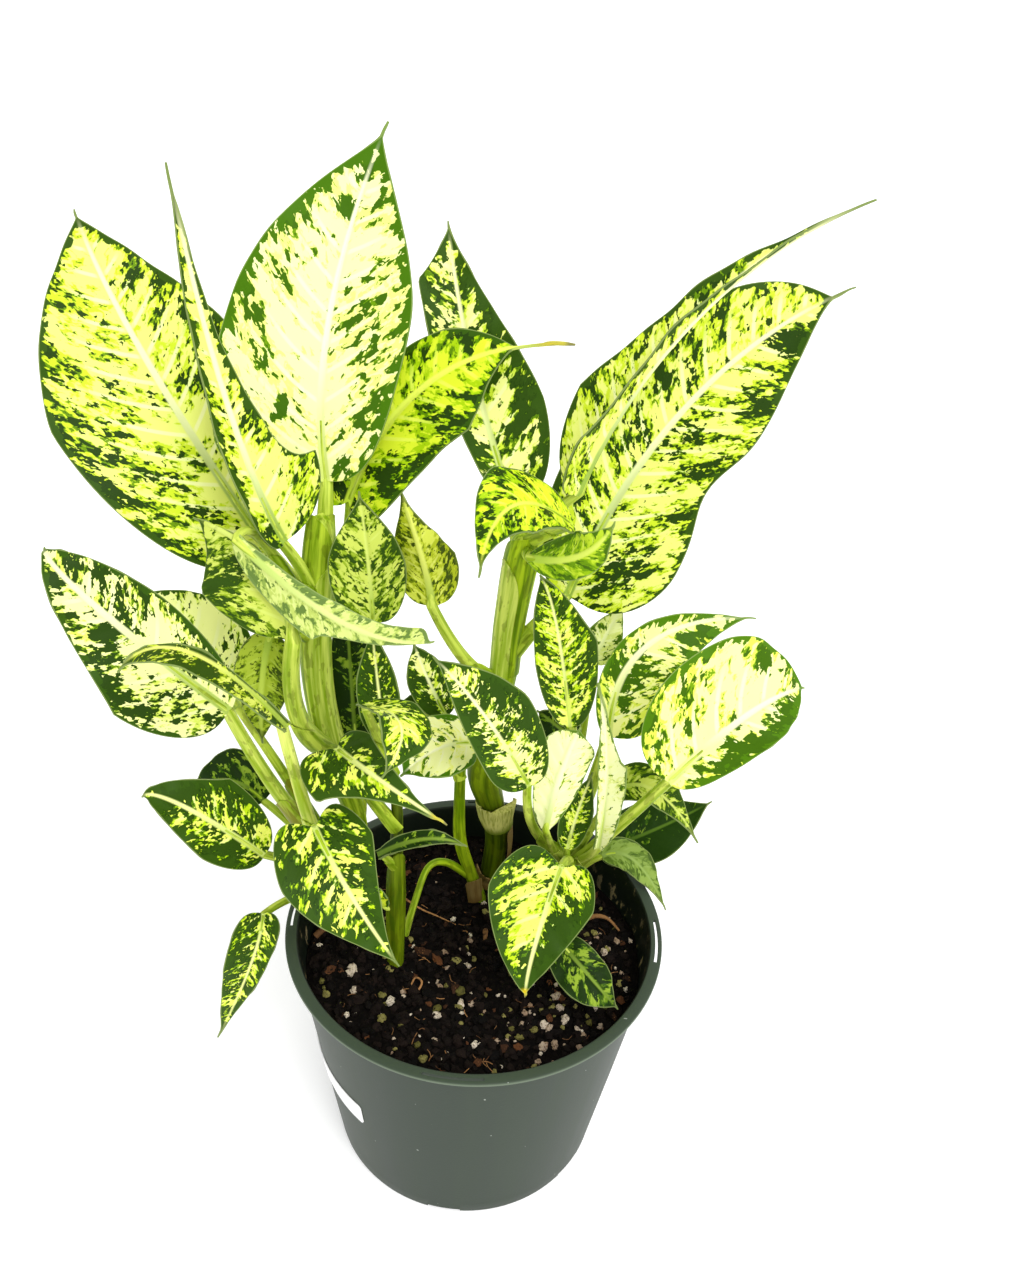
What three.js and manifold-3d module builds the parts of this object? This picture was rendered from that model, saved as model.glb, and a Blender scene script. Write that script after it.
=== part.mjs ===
import * as THREE from "three";
import { mergeVertices } from "three/addons/utils/BufferGeometryUtils.js";
import Module from "manifold-3d";

// A young dieffenbachia in its nursery pot. Millimetres, Z up, X to the right, Y to the back.
// The origin is the middle of the pot's base, on the surface that it stands on.

// Driving dimensions
const POT_HEIGHT = 122;
const BASE_RADIUS = 63;
const TOP_RADIUS = 80;
const WALL = 1.5;
const FLANGE_RADIUS = 84;
const FLANGE_THICK = 1.6;
const FLOOR_THICK = 2.4;
const POT_SIDES = 48;
const BASE_ROUND = 1;
const FLANGE_ROUND = 0.4;
const SLOT_LENGTH = 25;
const SLOT_WIDTH = 1.2;
const SLOT_RADIUS = 81.6;
const SLOT_SEGMENTS = 4;
const SLOT_ANGLES = [-94, -4, 86, 176];
const NOTCH_COUNT = 6;
const NOTCH_WIDTH = 15;
const NOTCH_HEIGHT = 2;
const NOTCH_DEPTH = 9;
const NOTCH_FIRST = -97;
const DRAIN_RADIUS = 4;
const DRAIN_CIRCLE = 50;
const DRAIN_SIDES = 10;
const SOIL_LEVEL = 103;
const SOIL_SWELL = 1.6;
const BROAD_SWELL = [9, 11];
const SMALL_SWELL = [4.3, 5.1];
const SMALL_SHARE = 0.6;
const SOIL_SIDES = 32;
const SOIL_RINGS = 5;
const HOLE_PLAY = 0.9;
const GAP = 0.3;
const LABEL_THICK = 0.4;
const LABEL_FROM = 185;
const LABEL_TO = 231;
const LABEL_LOW = 51;
const LABEL_HIGH = 65;
const LABEL_STEPS = 6;
const BLADE_THICK = 0.8;
const VEIN_SWEEP = 0.25;
const BLADE_END = 0.7;
const BLADE_START = 2;
const BLADE_WIDEST = 0.38;
const BLADE_FULL = 1.8;
const BLADE_DRIP = 0.03;
const TIP_TAPER = 1.2;
const PINCH_PLACE = 0.33;
const PINCH_LENGTH = 0.12;
const ROWS_EVENNESS = 0.3;
const LARGE_ROWS = 9;
const SMALL_ROWS = 7;
const LARGE_COLUMNS = [-1, -0.7, -0.36, 0, 0.36, 0.7, 1];
const SMALL_COLUMNS = [-1, -0.55, 0, 0.55, 1];
const LARGE_HALF = 18;
const WAVE_COUNT = 2.4;
const WAVE_SHIFT = 1.1;
const STALK_THIN = 1.4;
const STALK_STOUT = 25;
const STALK_FOOT = 1.25;
const STALK_HEAD = 0.9;
const STALK_SIDES = 6;
const STALK_STEPS = 4;
const SHOOT_SIDES = 8;
const SHOOT_STEPS = 12;
const KINK_STEPS = 9;
const HOLE_STEPS = 5;
const ROOT_DEPTH = 62;

// Each shoot is a run of points up its middle with the radius there: [x, y, z, radius].
const SHOOTS = {
  shoot_left: [
    [-48, 38, ROOT_DEPTH, 4.5], [-55, 38, 110, 4.5], [-58, 38, 151, 4.5], [-67, 38, 183, 5.4],
    [-72, 38, 213, 5.8], [-73, 37, 244, 6], [-70, 36, 284, 6], [-68, 38, 304, 5],
  ],
  shoot_basal: [
    [-58, 22, ROOT_DEPTH, 4], [-60, 26, 100, 4.5], [-68, 27, 128, 4.5], [-74, 27, 150, 4],
  ],
  shoot_centre: [
    [6, 46, ROOT_DEPTH, 6], [6, 46, 100, 5.6], [8, 44, 134, 5.4], [4, 43, 157, 6.4], [0, 43, 175, 7.3],
    [3, 42, 204, 6], [7, 41, 232, 5.6], [8, 41, 257, 5.8], [11, 40, 287, 6.4], [13, 38, 301, 5],
  ],
  shoot_thin: [
    [3, 34, ROOT_DEPTH, 3], [2, 34, 100, 3.2], [-4, 34, 121, 3], [-9, 34, 140, 3], [-10, 32, 166, 2.6],
    [-10, 29, 195, 2.4],
  ],
  shoot_front: [
    [-35, -8, ROOT_DEPTH, 3], [-35, -8, 100, 3], [-35, -6, 140, 3.6], [-35, -4, 168, 2.8],
    [-35, -2, 191, 2.4], [-38, 2, 211, 2.6], [-40, 8, 225, 2.4],
  ],
  shoot_right: [
    [46, 46, ROOT_DEPTH, 4], [44, 46, 100, 4.5], [42, 44, 118, 4.5], [40, 40, 135, 4],
  ],
};

// The old thin stalk beside the middle shoots: it kinks over and goes back into the soil.
const KINKED_STALK = [
  [-5, 34, 118, 2], [-15, 29, 130, 1.8], [-23, 24, 131, 1.6], [-28, 14, 120, 1.6], [-33, 7, 98, 1.8],
  [-33, 6, 84, 1.8],
];

// Every leaf: the shoot it grows on, where its stalk leaves that shoot, the point that the stalk bows
// towards, then three points of the midrib (base, middle, tip). half is the widest reach of the left
// and right halves, seen on the upper face with the tip up. face is the way that the upper face looks:
// degrees round from +X, and degrees up. twist turns the blade from base to tip. fold lifts the halves
// at the midrib, and curl bends them on towards the edge. heart draws the base lobes back. wide is how
// far along the blade is widest, and full is how slowly it narrows from there to the tip, which is as
// thin as a thread over the share drip. pinch draws the edge in, a third of the way along. stout widens
// the stalk.
const LEAVES = {
  leaf_01: { on: "shoot_left", from: [-72, 38, 246], bow: [-76, 39, 268], base: [-90, 40, 284],
    middle: [-136, 55, 358], tip: [-165, 85, 402], half: [44, 36], face: [-70, 25], wave: 2,
    wide: [0.36, 0.3], full: [1.3, 1.5] },
  leaf_02: { on: "shoot_left", from: [-70, 36, 262], bow: [-74, 28, 282], base: [-80, 22, 299],
    middle: [-97, 20, 354], tip: [-115, 38, 430], half: [10, 27], face: [-45, 12], twist: -22, fold: 15,
    wide: [0.12, 0.2], full: [2.7, 0.45] },
  leaf_03: { on: "shoot_left", from: [-68, 38, 290], bow: [-67, 42, 305], base: [-67, 44, 315],
    middle: [-66, 58, 374], tip: [-46, 80, 440], half: [40, 33], face: [-85, 15], fold: [8, 26],
    wave: 2, wide: [0.1, 0.46], full: [2.7, 1.9] },
  leaf_04: { on: "shoot_left", from: [-71, 37, 250], bow: [-58, 46, 276], base: [-59, 47, 305],
    middle: [-27, 52, 355], tip: [25, 40, 376], half: [16, 27], face: [-100, 35], fold: 14, wave: 2,
    wide: [0.2, 0.5], full: [4, 1.2], drip: 0.18, heart: 1.2 },
  leaf_05: { on: "shoot_left", from: [-69, 36, 190], bow: [-82, 4, 222], base: [-74, -2, 272],
    middle: [-85, 5, 299], tip: [-113, 20, 308], half: [2, 26], face: [100, -20], full: 2.4, stout: 1.5 },
  leaf_06: { on: "shoot_basal", from: [-73, 27, 142], bow: [-90, 14, 178], base: [-103, 5, 230],
    middle: [-149, 0, 281], tip: [-166, 8, 299], half: [27, 19], face: [-75, 35], wave: 2,
    wide: [0.18, 0.27], full: [0.85, 1.5], stout: 1.2 },
  leaf_07: { on: "shoot_basal", from: [-73, 27, 147], bow: [-88, 30, 180], base: [-106, 30, 213],
    middle: [-122, 34, 244], tip: [-143, 45, 261], half: [18, 20], face: [-70, 30] },
  leaf_08: { on: "shoot_basal", from: [-69, 27, 130], bow: [-76, 2, 178], base: [-76, -14, 238],
    middle: [-106, -28, 280], tip: [-130, -34, 274], half: [11, 2], face: [-80, 60], fold: 30,
    wide: [0.6, 0.38], full: [1.2, 3], stout: 1.5 },
  leaf_09: { on: "shoot_left", from: [-73, 37, 244], bow: [-80, 24, 262], base: [-86, 14, 262],
    middle: [-90, 10, 239], tip: [-93, 16, 206], half: [12, 11], face: [90, -10] },
  leaf_10: { on: "shoot_front", from: [-40, 7, 222], bow: [-46, 20, 250], base: [-47, 22, 265],
    middle: [-49, 27, 289], tip: [-53, 34, 316], half: [16, 15], face: [-90, 15] },
  leaf_11: { on: "shoot_centre", from: [5, 41, 225], bow: [-12, 28, 240], base: [-23, 20, 276],
    middle: [-28, 28, 293], tip: [-38, 42, 314], half: [13, 14], face: [85, 5], fold: 14,
    full: [1, 1.8], stout: 1.3 },
  leaf_12: { on: "shoot_basal", from: [-68, 27, 126], bow: [-70, 0, 172], base: [-65, -25, 197],
    middle: [-48, -45, 180], tip: [-29, -55, 154], half: [19, 22], face: [-85, 48], heart: 1,
    wide: [0.14, 0.18], full: [1.1, 1.5], stout: 1.4 },
  leaf_13: { on: "shoot_front", from: [-38, 3, 212], bow: [-40, 0, 217], base: [-40, 0, 224],
    middle: [-43, 4, 247], tip: [-46, 11, 271], half: [9, 9], face: [-90, 10], fold: 20 },
  leaf_14: { on: "shoot_front", from: [-37, 1, 206], bow: [-44, -8, 235], base: [-46, -14, 251],
    middle: [-30, -36, 258], tip: [-36, -46, 242], half: [12, 12], face: [-45, 35], fold: 12 },
  leaf_15: { on: "shoot_front", from: [-35, -3, 180], bow: [-52, -6, 208], base: [-57, -14, 229],
    middle: [-38, -30, 227], tip: [-13, -26, 203], half: [12, 21], face: [-70, 40], heart: 1.1,
    wide: [0.12, 0.19], full: [1, 0.6] },
  leaf_16: { on: "shoot_thin", from: [-10, 29, 190], bow: [-8, 24, 202], base: [-6, 18, 210],
    middle: [-20, 8, 213], tip: [-34, 2, 203], half: [15, 14], face: [-90, 50], fold: 25 },
  leaf_17: { on: "shoot_thin", from: [-10, 30, 190], bow: [-14, 26, 206], base: [-17, 24, 219],
    middle: [-25, 24, 238], tip: [-31, 28, 252], half: [9, 9], face: [-80, 25] },
  leaf_20: { on: "shoot_centre", from: [11, 41, 285], bow: [8, 44, 300], base: [6, 46, 308],
    middle: [-13, 62, 361], tip: [-24, 84, 406], half: [14, 24], face: [-88, 15], wave: 2,
    wide: [0.77, 0.25], full: [0.9, 1.3], drip: 0.02 },
  leaf_21: { on: "shoot_centre", from: [8, 41, 240], bow: [18, 40, 256], base: [31, 44, 269],
    middle: [71, 56, 349], tip: [130, 70, 394], half: [26, 36], face: [-100, 25], wave: 2,
    wide: [0.25, 0.11], full: [5, 2.6], drip: 0.06, pinch: [0, 0.2] },
  leaf_22: { on: "shoot_centre", from: [12, 40, 284], bow: [18, 36, 306], base: [29, 30, 323],
    middle: [66, 36, 390], tip: [125, 52, 429], half: [19, 20], face: [187, 20], fold: 40,
    wide: [0.18, 0.12], full: [0.8, 0.5] },
  leaf_23: { on: "shoot_centre", from: [13, 38, 297], bow: [26, 22, 312], base: [28, 8, 320],
    middle: [5, -16, 338], tip: [-5, -24, 314], half: [14, 15], face: [-90, 60], wide: [0.5, 0.42],
    full: [0.9, 1.1] },
  leaf_24: { on: "shoot_centre", from: [13, 39, 292], bow: [14, 20, 297], base: [14, 12, 303],
    middle: [31, -2, 313], tip: [41, -8, 330], half: [8, 9], face: [90, -30] },
  leaf_31: { on: "shoot_right", from: [41, 42, 126], bow: [18, 18, 160], base: [19, -5, 207],
    middle: [-1, -14, 249], tip: [-21, -8, 270], half: [12, 18], face: [-95, 35], wide: [0.12, 0.42],
    full: [1.9, 1.3] },
  leaf_32: { on: "shoot_right", from: [41, 42, 130], bow: [42, 34, 190], base: [35, 15, 223],
    middle: [26, 20, 269], tip: [18, 26, 288], half: [11, 15], face: [-92, 15], wide: [0.26, 0.36],
    full: [1.7, 0.9], stout: 1.4 },
  leaf_33: { on: "shoot_right", from: [41, 42, 128], bow: [44, 48, 190], base: [45, 47, 234],
    middle: [49, 49, 246], tip: [56, 53, 261], half: [8, 8], face: [-95, 20] },
  leaf_34: { on: "shoot_right", from: [41, 41, 130], bow: [50, 34, 176], base: [52, 22, 214],
    middle: [66, 36, 252], tip: [112, 50, 259], half: [9, 21], face: [-100, 35], wide: [0.38, 0.12],
    full: [1.6, 2.6], stout: 1.3 },
  leaf_35: { on: "shoot_right", from: [43, 44, 114], bow: [58, 14, 168], base: [74, -10, 217],
    middle: [102, -4, 248], tip: [128, 16, 248], half: [31, 15], face: [-98, 35], wave: 1.5,
    wide: [0.3, 0.37], full: 2.8 },
  leaf_36: { on: "shoot_right", from: [41, 42, 124], bow: [32, 22, 146], base: [28, 6, 176],
    middle: [32, 6, 205], tip: [39, 14, 224], half: [11, 11], face: [90, -10], wide: 0.7 },
  leaf_37: { on: "shoot_right", from: [42, 43, 118], bow: [50, 28, 138], base: [52, 8, 163],
    middle: [51, 6, 211], tip: [44, 12, 248], half: [4, 9], face: [-90, 15], fold: [20, 35], wide: 0.5,
    full: [1.2, 0.5] },
  leaf_38: { on: "shoot_right", from: [42, 42, 122], bow: [54, 30, 160], base: [56, 18, 185],
    middle: [73, 14, 193], tip: [95, 8, 169], half: [10, 8], face: [-80, 60] },
  leaf_39: { on: "shoot_right", from: [43, 45, 112], bow: [50, 46, 122], base: [57, 44, 128],
    middle: [84, 50, 138], tip: [110, 56, 152], half: [15, 15], face: [-95, 50] },
  leaf_40: { on: "shoot_front", from: [-35, -5, 158], bow: [-38, -9, 168], base: [-42, -12, 172],
    middle: [-22, -14, 184], tip: [-5, -12, 179], half: [4, 3], face: [-90, 50] },
  leaf_41: { on: "shoot_right", from: [44, 45, 106], bow: [52, 38, 128], base: [58, 34, 134],
    middle: [73, 31, 135], tip: [89, 20, 115], half: [8, 8], face: [-70, 60] },
  leaf_42: { on: "shoot_right", from: [43, 44, 116], bow: [42, 20, 148], base: [35, -8, 166],
    middle: [25, -36, 148], tip: [22, -48, 131], half: [19, 26], face: [-95, 48], heart: 0.7,
    wide: [0.12, 0.15], full: [1.1, 1.2] },
  leaf_43: { on: "shoot_right", from: [44, 45, 104], bow: [40, 10, 132], base: [35, -20, 137],
    middle: [49, -34, 130], tip: [62, -42, 119], half: [9, 13], face: [-80, 60] },
  leaf_44: { on: "shoot_basal", from: [-63, 26, 106], bow: [-76, 8, 134], base: [-92, -12, 134],
    middle: [-97, -22, 112], tip: [-116, -20, 60], half: [8, 12], face: [-80, 30], fold: 15,
    wide: [0.12, 0.24], full: [2.2, 2.5] },
  leaf_45: { on: "shoot_basal", from: [-66, 27, 118], bow: [-84, 14, 142], base: [-93, 2, 155],
    middle: [-124, -6, 189], tip: [-140, -4, 190], half: [15, 19], face: [-80, 48],
    wide: [0.2, 0.28], full: [1.1, 0.8] },
  leaf_46: { on: "shoot_basal", from: [-67, 28, 124], bow: [-84, 26, 152], base: [-97, 24, 167],
    middle: [-112, 26, 176], tip: [-130, 30, 166], half: [12, 14], face: [-85, 50] },
  leaf_48: { on: "shoot_left", from: [-73, 37, 250], bow: [-92, 26, 313], base: [-93, 2, 310],
    middle: [-53, -10, 284], tip: [-20, -16, 282], half: [12, 5.5], face: [60, -30],
    wide: [0.38, 0.85], full: [0.5, 4] },
  leaf_49: { on: "shoot_right", from: [41, 41, 130], bow: [42, 36, 170], base: [40, 32, 203],
    middle: [31, 34, 209], tip: [22, 38, 214], half: [8, 8], face: [-90, 30] },
  leaf_50: { on: "shoot_right", from: [42, 43, 118], bow: [40, 24, 134], base: [39, 12, 158],
    middle: [42, 14, 178], tip: [47, 18, 197], half: [7, 7], face: [-90, 25] },
  leaf_51: { on: "shoot_thin", from: [-10, 30, 180], bow: [-16, 34, 198], base: [-21, 34, 206],
    middle: [-30, 32, 214], tip: [-40, 34, 212], half: [8, 8], face: [90, -20] },
  leaf_52: { on: "shoot_left", from: [-57, 38, 140], bow: [-54, 46, 158], base: [-58, 46, 176],
    middle: [-60, 48, 222], tip: [-62, 50, 268], half: [9, 10], face: [-90, 15], wide: 0.45 },
  bract: { on: "shoot_front", from: [-35, -6, 136], bow: [-37, -8, 137], base: [-40, -10, 139],
    middle: [-42, -13, 148], tip: [-45, -14, 158], half: [4, 4], face: [-90, 30] },
};

// Finishes, one for each kind of surface
const FINISH = {
  pot: { color: 0x3e5748, roughness: 0.55, metalness: 0 },
  soil: { color: 0x1d1512, roughness: 0.95, metalness: 0 },
  label: { color: 0xf4f4f1, roughness: 0.5, metalness: 0 },
  stem: { color: 0x8fae3c, roughness: 0.5, metalness: 0 },
  leaf: { color: 0xb9cf4a, roughness: 0.4, metalness: 0 },
};

const wasm = await Module();
wasm.setup();
const plant = new THREE.Group();

// Turning shapes into solids and back
function toSolid(geometry) {
  geometry.deleteAttribute("normal");
  geometry.deleteAttribute("uv");
  const merged = mergeVertices(geometry, 1e-4);
  return new wasm.Manifold(new wasm.Mesh({
    numProp: 3,
    vertProperties: merged.attributes.position.array,
    triVerts: new Uint32Array(merged.index.array),
  }));
}

function toGeometry(solid) {
  const mesh = solid.getMesh();
  const geometry = new THREE.BufferGeometry();
  geometry.setAttribute("position", new THREE.BufferAttribute(mesh.vertProperties, 3));
  geometry.setIndex(new THREE.BufferAttribute(mesh.triVerts, 1));
  geometry.computeVertexNormals();
  return geometry;
}

function gridGeometry(points, faces) {
  const geometry = new THREE.BufferGeometry();
  const numbers = points.flatMap((p) => p.toArray());
  geometry.setAttribute("position", new THREE.Float32BufferAttribute(numbers, 3));
  geometry.setIndex(faces.flat());
  return geometry;
}

function addPiece(name, solid, finish) {
  const mesh = new THREE.Mesh(toGeometry(solid), new THREE.MeshStandardMaterial(FINISH[finish]));
  mesh.name = name;
  plant.add(mesh);
}

// A stem of changing radius through the given points, closed at both ends
function stem(points, sides, steps, extra = 0) {
  const curve = new THREE.CatmullRomCurve3(points.map((p) => new THREE.Vector3(p[0], p[1], p[2])));
  const frames = curve.computeFrenetFrames(steps, false);
  const vertices = [];
  const faces = [];
  for (let i = 0; i <= steps; i++) {
    const t = i / steps;
    const place = t * (points.length - 1);
    const k = Math.min(Math.floor(place), points.length - 2);
    const radius = THREE.MathUtils.lerp(points[k][3], points[k + 1][3], place - k) + extra;
    const centre = curve.getPoint(t);
    for (let j = 0; j < sides; j++) {
      const angle = (2 * Math.PI * j) / sides;
      vertices.push(centre.clone()
        .addScaledVector(frames.normals[i], radius * Math.cos(angle))
        .addScaledVector(frames.binormals[i], radius * Math.sin(angle)));
    }
  }
  for (let i = 0; i < steps; i++) {
    for (let j = 0; j < sides; j++) {
      const a = i * sides + j;
      const b = i * sides + ((j + 1) % sides);
      faces.push([a, b, b + sides], [a, b + sides, a + sides]);
    }
  }
  const last = steps * sides;
  for (let j = 1; j < sides - 1; j++) {
    faces.push([0, j + 1, j], [last, last + j, last + j + 1]);
  }
  return toSolid(gridGeometry(vertices, faces));
}

// A blade is a thin waved sheet between its midrib and its two edges
function sideOf(value, s) {
  return Array.isArray(value) ? value[s < 0 ? 0 : 1] : value;
}

function midrib(leaf) {
  const [base, middle, tip] = [leaf.base, leaf.middle, leaf.tip].map((p) => new THREE.Vector3(...p));
  const control = middle.clone().multiplyScalar(2).addScaledVector(base, -0.5).addScaledVector(tip, -0.5);
  return new THREE.QuadraticBezierCurve3(base, control, tip);
}

function outline(t, wide, full, drip, pinch) {
  const narrowed = 1 - pinch * Math.exp(-(((t - PINCH_PLACE) / PINCH_LENGTH) ** 2));
  if (t < wide) {
    return narrowed * Math.sqrt(1 - (1 - t / wide) ** 2);
  }
  const u = Math.min((t - wide) / (1 - drip - wide), 1);
  return narrowed * (1 - u ** full) ** TIP_TAPER;
}

function bladePoint(leaf, rib, t, s) {
  const { half, face, twist = 0, fold = 8, curl = 0, heart = 0.2, wave = 1, pinch = 0 } = leaf;
  const wide = sideOf(leaf.wide ?? BLADE_WIDEST, s);
  const full = sideOf(leaf.full ?? BLADE_FULL, s);
  const along = rib.getTangent(t);
  const azimuth = THREE.MathUtils.degToRad(face[0]);
  const height = THREE.MathUtils.degToRad(face[1]);
  const looks = new THREE.Vector3(Math.cos(azimuth), Math.sin(azimuth), 0)
    .multiplyScalar(Math.cos(height)).setZ(Math.sin(height));
  const across = along.clone().cross(looks).normalize()
    .applyAxisAngle(along, THREE.MathUtils.degToRad(twist * (t - 0.5)));
  const up = across.clone().cross(along);
  const q = Math.abs(s);
  const side = Math.sign(s);
  const start = BLADE_START + (BLADE_END - BLADE_START) * t;
  const shape = outline(t, wide, full, leaf.drip ?? BLADE_DRIP, sideOf(pinch, s));
  const reach = Math.max(sideOf(half, s) * shape, start);
  const first = THREE.MathUtils.degToRad(sideOf(fold, s));
  const bend = THREE.MathUtils.degToRad(sideOf(curl, s)) || 1e-6;
  const out = (reach * (Math.sin(first + bend * q) - Math.sin(first))) / bend;
  const phase = 2 * Math.PI * WAVE_COUNT * t + side * WAVE_SHIFT;
  const ripple = wave * q * q * Math.sin(Math.PI * t) * Math.sin(phase);
  const lift = (reach * (Math.cos(first) - Math.cos(first + bend * q))) / bend + ripple;
  const back = t < wide ? heart * (1 - t / wide) ** 2 : 0;
  const forward = reach * q * (VEIN_SWEEP * Math.min(t / wide, 1) - back);
  return rib.getPoint(t).addScaledVector(across, side * out).addScaledVector(up, lift)
    .addScaledVector(along, forward);
}

function blade(leaf) {
  const rib = midrib(leaf);
  const large = leaf.curl || Math.max(...leaf.half) > LARGE_HALF;
  const rows = large ? LARGE_ROWS : SMALL_ROWS;
  const spread = large ? LARGE_COLUMNS : SMALL_COLUMNS;
  const cols = spread.length;
  const middle = [];
  for (let i = 0; i <= rows; i++) {
    const even = i / rows;
    const t = THREE.MathUtils.lerp(0.5 - 0.5 * Math.cos(Math.PI * even), even, ROWS_EVENNESS);
    for (const s of spread) {
      middle.push(bladePoint(leaf, rib, t, s));
    }
  }
  const at = (i, j) => i * cols + j;
  const faces = [];
  const count = middle.length;
  for (let i = 0; i < rows; i++) {
    for (let j = 0; j < cols - 1; j++) {
      const [a, b, c, d] = [at(i, j), at(i, j + 1), at(i + 1, j + 1), at(i + 1, j)];
      faces.push([a, b, c], [a, c, d]);
      faces.push([a + count, c + count, b + count], [a + count, d + count, c + count]);
    }
  }
  const edge = [];
  for (let j = 0; j < cols - 1; j++) edge.push(at(0, j));
  for (let i = 0; i < rows; i++) edge.push(at(i, cols - 1));
  for (let j = cols - 1; j > 0; j--) edge.push(at(rows, j));
  for (let i = rows; i > 0; i--) edge.push(at(i, 0));
  for (let k = 0; k < edge.length; k++) {
    const a = edge[k];
    const b = edge[(k + 1) % edge.length];
    faces.push([b, a, a + count], [b, a + count, b + count]);
  }
  const vertices = [];
  for (const offset of [0.5, -0.5]) {
    for (let i = 0; i <= rows; i++) {
      for (let j = 0; j < cols; j++) {
        const down = middle[at(Math.min(i + 1, rows), j)].clone().sub(middle[at(Math.max(i - 1, 0), j)]);
        const over = middle[at(i, Math.min(j + 1, cols - 1))].clone().sub(middle[at(i, Math.max(j - 1, 0))]);
        const normal = over.cross(down).normalize();
        vertices.push(middle[at(i, j)].clone().addScaledVector(normal, offset * BLADE_THICK));
      }
    }
  }
  return toSolid(gridGeometry(vertices, faces));
}

// The stalk of a leaf, from inside its shoot to just short of its blade. extra makes it wider and
// longer, to cut the blade clear of it.
function stalk(leaf, extra = 0) {
  const [from, bow, base] = [leaf.from, leaf.bow, leaf.base].map((p) => new THREE.Vector3(...p));
  const curve = new THREE.QuadraticBezierCurve3(from, bow, base);
  const short = 1 - (GAP + BLADE_THICK / 2 - extra) / curve.getLength();
  const thick = (STALK_THIN + Math.max(...leaf.half) / STALK_STOUT) * (leaf.stout ?? 1);
  const points = [];
  for (let i = 0; i <= STALK_STEPS; i++) {
    const t = i / STALK_STEPS;
    const p = curve.getPoint(short * t);
    points.push([p.x, p.y, p.z, thick * THREE.MathUtils.lerp(STALK_FOOT, STALK_HEAD, t)]);
  }
  return stem(points, STALK_SIDES, STALK_STEPS, extra);
}

// The pot: a turned shell with a flat floor, a flange, slots in the flange and drain notches below
function pot() {
  const inner = TOP_RADIUS - WALL;
  const profile = [
    [0, 0], [BASE_RADIUS - BASE_ROUND, 0], [BASE_RADIUS, BASE_ROUND], [TOP_RADIUS, POT_HEIGHT - FLANGE_THICK],
    [FLANGE_RADIUS, POT_HEIGHT - FLANGE_THICK], [FLANGE_RADIUS, POT_HEIGHT - FLANGE_ROUND],
    [FLANGE_RADIUS - FLANGE_ROUND, POT_HEIGHT], [inner, POT_HEIGHT], [BASE_RADIUS - WALL, FLOOR_THICK],
    [0, FLOOR_THICK],
  ].map(([r, z]) => new THREE.Vector2(r, z));
  let solid = toSolid(new THREE.LatheGeometry(profile, POT_SIDES).rotateX(Math.PI / 2));
  for (const angle of SLOT_ANGLES) {
    const spread = SLOT_LENGTH / 2 / SLOT_RADIUS;
    const middle = THREE.MathUtils.degToRad(angle);
    const shape = new THREE.Shape();
    shape.absarc(0, 0, SLOT_RADIUS + SLOT_WIDTH / 2, middle - spread, middle + spread, false);
    shape.absarc(0, 0, SLOT_RADIUS - SLOT_WIDTH / 2, middle + spread, middle - spread, true);
    const depth = 4 * FLANGE_THICK;
    const settings = { depth, bevelEnabled: false, curveSegments: SLOT_SEGMENTS };
    const cutter = new THREE.ExtrudeGeometry(shape, settings);
    solid = solid.subtract(toSolid(cutter.translate(0, 0, POT_HEIGHT - depth / 2)));
  }
  for (let i = 0; i < NOTCH_COUNT; i++) {
    const turn = THREE.MathUtils.degToRad(NOTCH_FIRST + (360 * i) / NOTCH_COUNT);
    const notch = new THREE.BoxGeometry(2 * NOTCH_DEPTH, NOTCH_WIDTH, 2 * NOTCH_HEIGHT)
      .translate(BASE_RADIUS, 0, 0).rotateZ(turn);
    const drain = new THREE.CylinderGeometry(DRAIN_RADIUS, DRAIN_RADIUS, 4 * FLOOR_THICK, DRAIN_SIDES)
      .rotateX(Math.PI / 2).translate(DRAIN_CIRCLE, 0, 0).rotateZ(turn);
    solid = solid.subtract(toSolid(notch)).subtract(toSolid(drain));
  }
  return solid;
}

// The soil: it fills the pot and its top is uneven, with broad swells and smaller ones between them
function soilHeight(x, y) {
  const broad = Math.sin(x / BROAD_SWELL[0] + 1) * Math.cos(y / BROAD_SWELL[1]);
  const small = Math.sin(x / SMALL_SWELL[0]) * Math.sin(y / SMALL_SWELL[1] + 2);
  return SOIL_LEVEL + SOIL_SWELL * (broad + SMALL_SHARE * small);
}

function soil() {
  const wallAt = (z) => BASE_RADIUS - WALL
    + ((z - FLOOR_THICK) / (POT_HEIGHT - FLOOR_THICK)) * (TOP_RADIUS - BASE_RADIUS);
  const sides = SOIL_SIDES;
  const rings = SOIL_RINGS;
  const low = FLOOR_THICK + GAP;
  const outer = wallAt(SOIL_LEVEL - SOIL_SWELL * 2) - 2 * GAP;
  const vertices = [new THREE.Vector3(0, 0, soilHeight(0, 0))];
  for (let i = 1; i <= rings; i++) {
    for (let j = 0; j < sides; j++) {
      const angle = (2 * Math.PI * j) / sides;
      const x = ((outer * i) / rings) * Math.cos(angle);
      const y = ((outer * i) / rings) * Math.sin(angle);
      vertices.push(new THREE.Vector3(x, y, soilHeight(x, y)));
    }
  }
  for (let j = 0; j < sides; j++) {
    const angle = (2 * Math.PI * j) / sides;
    const r = wallAt(low) - 2 * GAP;
    vertices.push(new THREE.Vector3(r * Math.cos(angle), r * Math.sin(angle), low));
  }
  vertices.push(new THREE.Vector3(0, 0, low));
  const faces = [];
  const at = (ring, j) => 1 + (ring - 1) * sides + (j % sides);
  for (let j = 0; j < sides; j++) {
    faces.push([0, at(1, j), at(1, j + 1)]);
    for (let ring = 1; ring <= rings; ring++) {
      const [a, b, c, d] = [at(ring, j), at(ring + 1, j), at(ring + 1, j + 1), at(ring, j + 1)];
      faces.push([a, b, c], [a, c, d]);
    }
    faces.push([vertices.length - 1, at(rings + 1, j + 1), at(rings + 1, j)]);
  }
  return toSolid(gridGeometry(vertices, faces));
}

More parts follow.
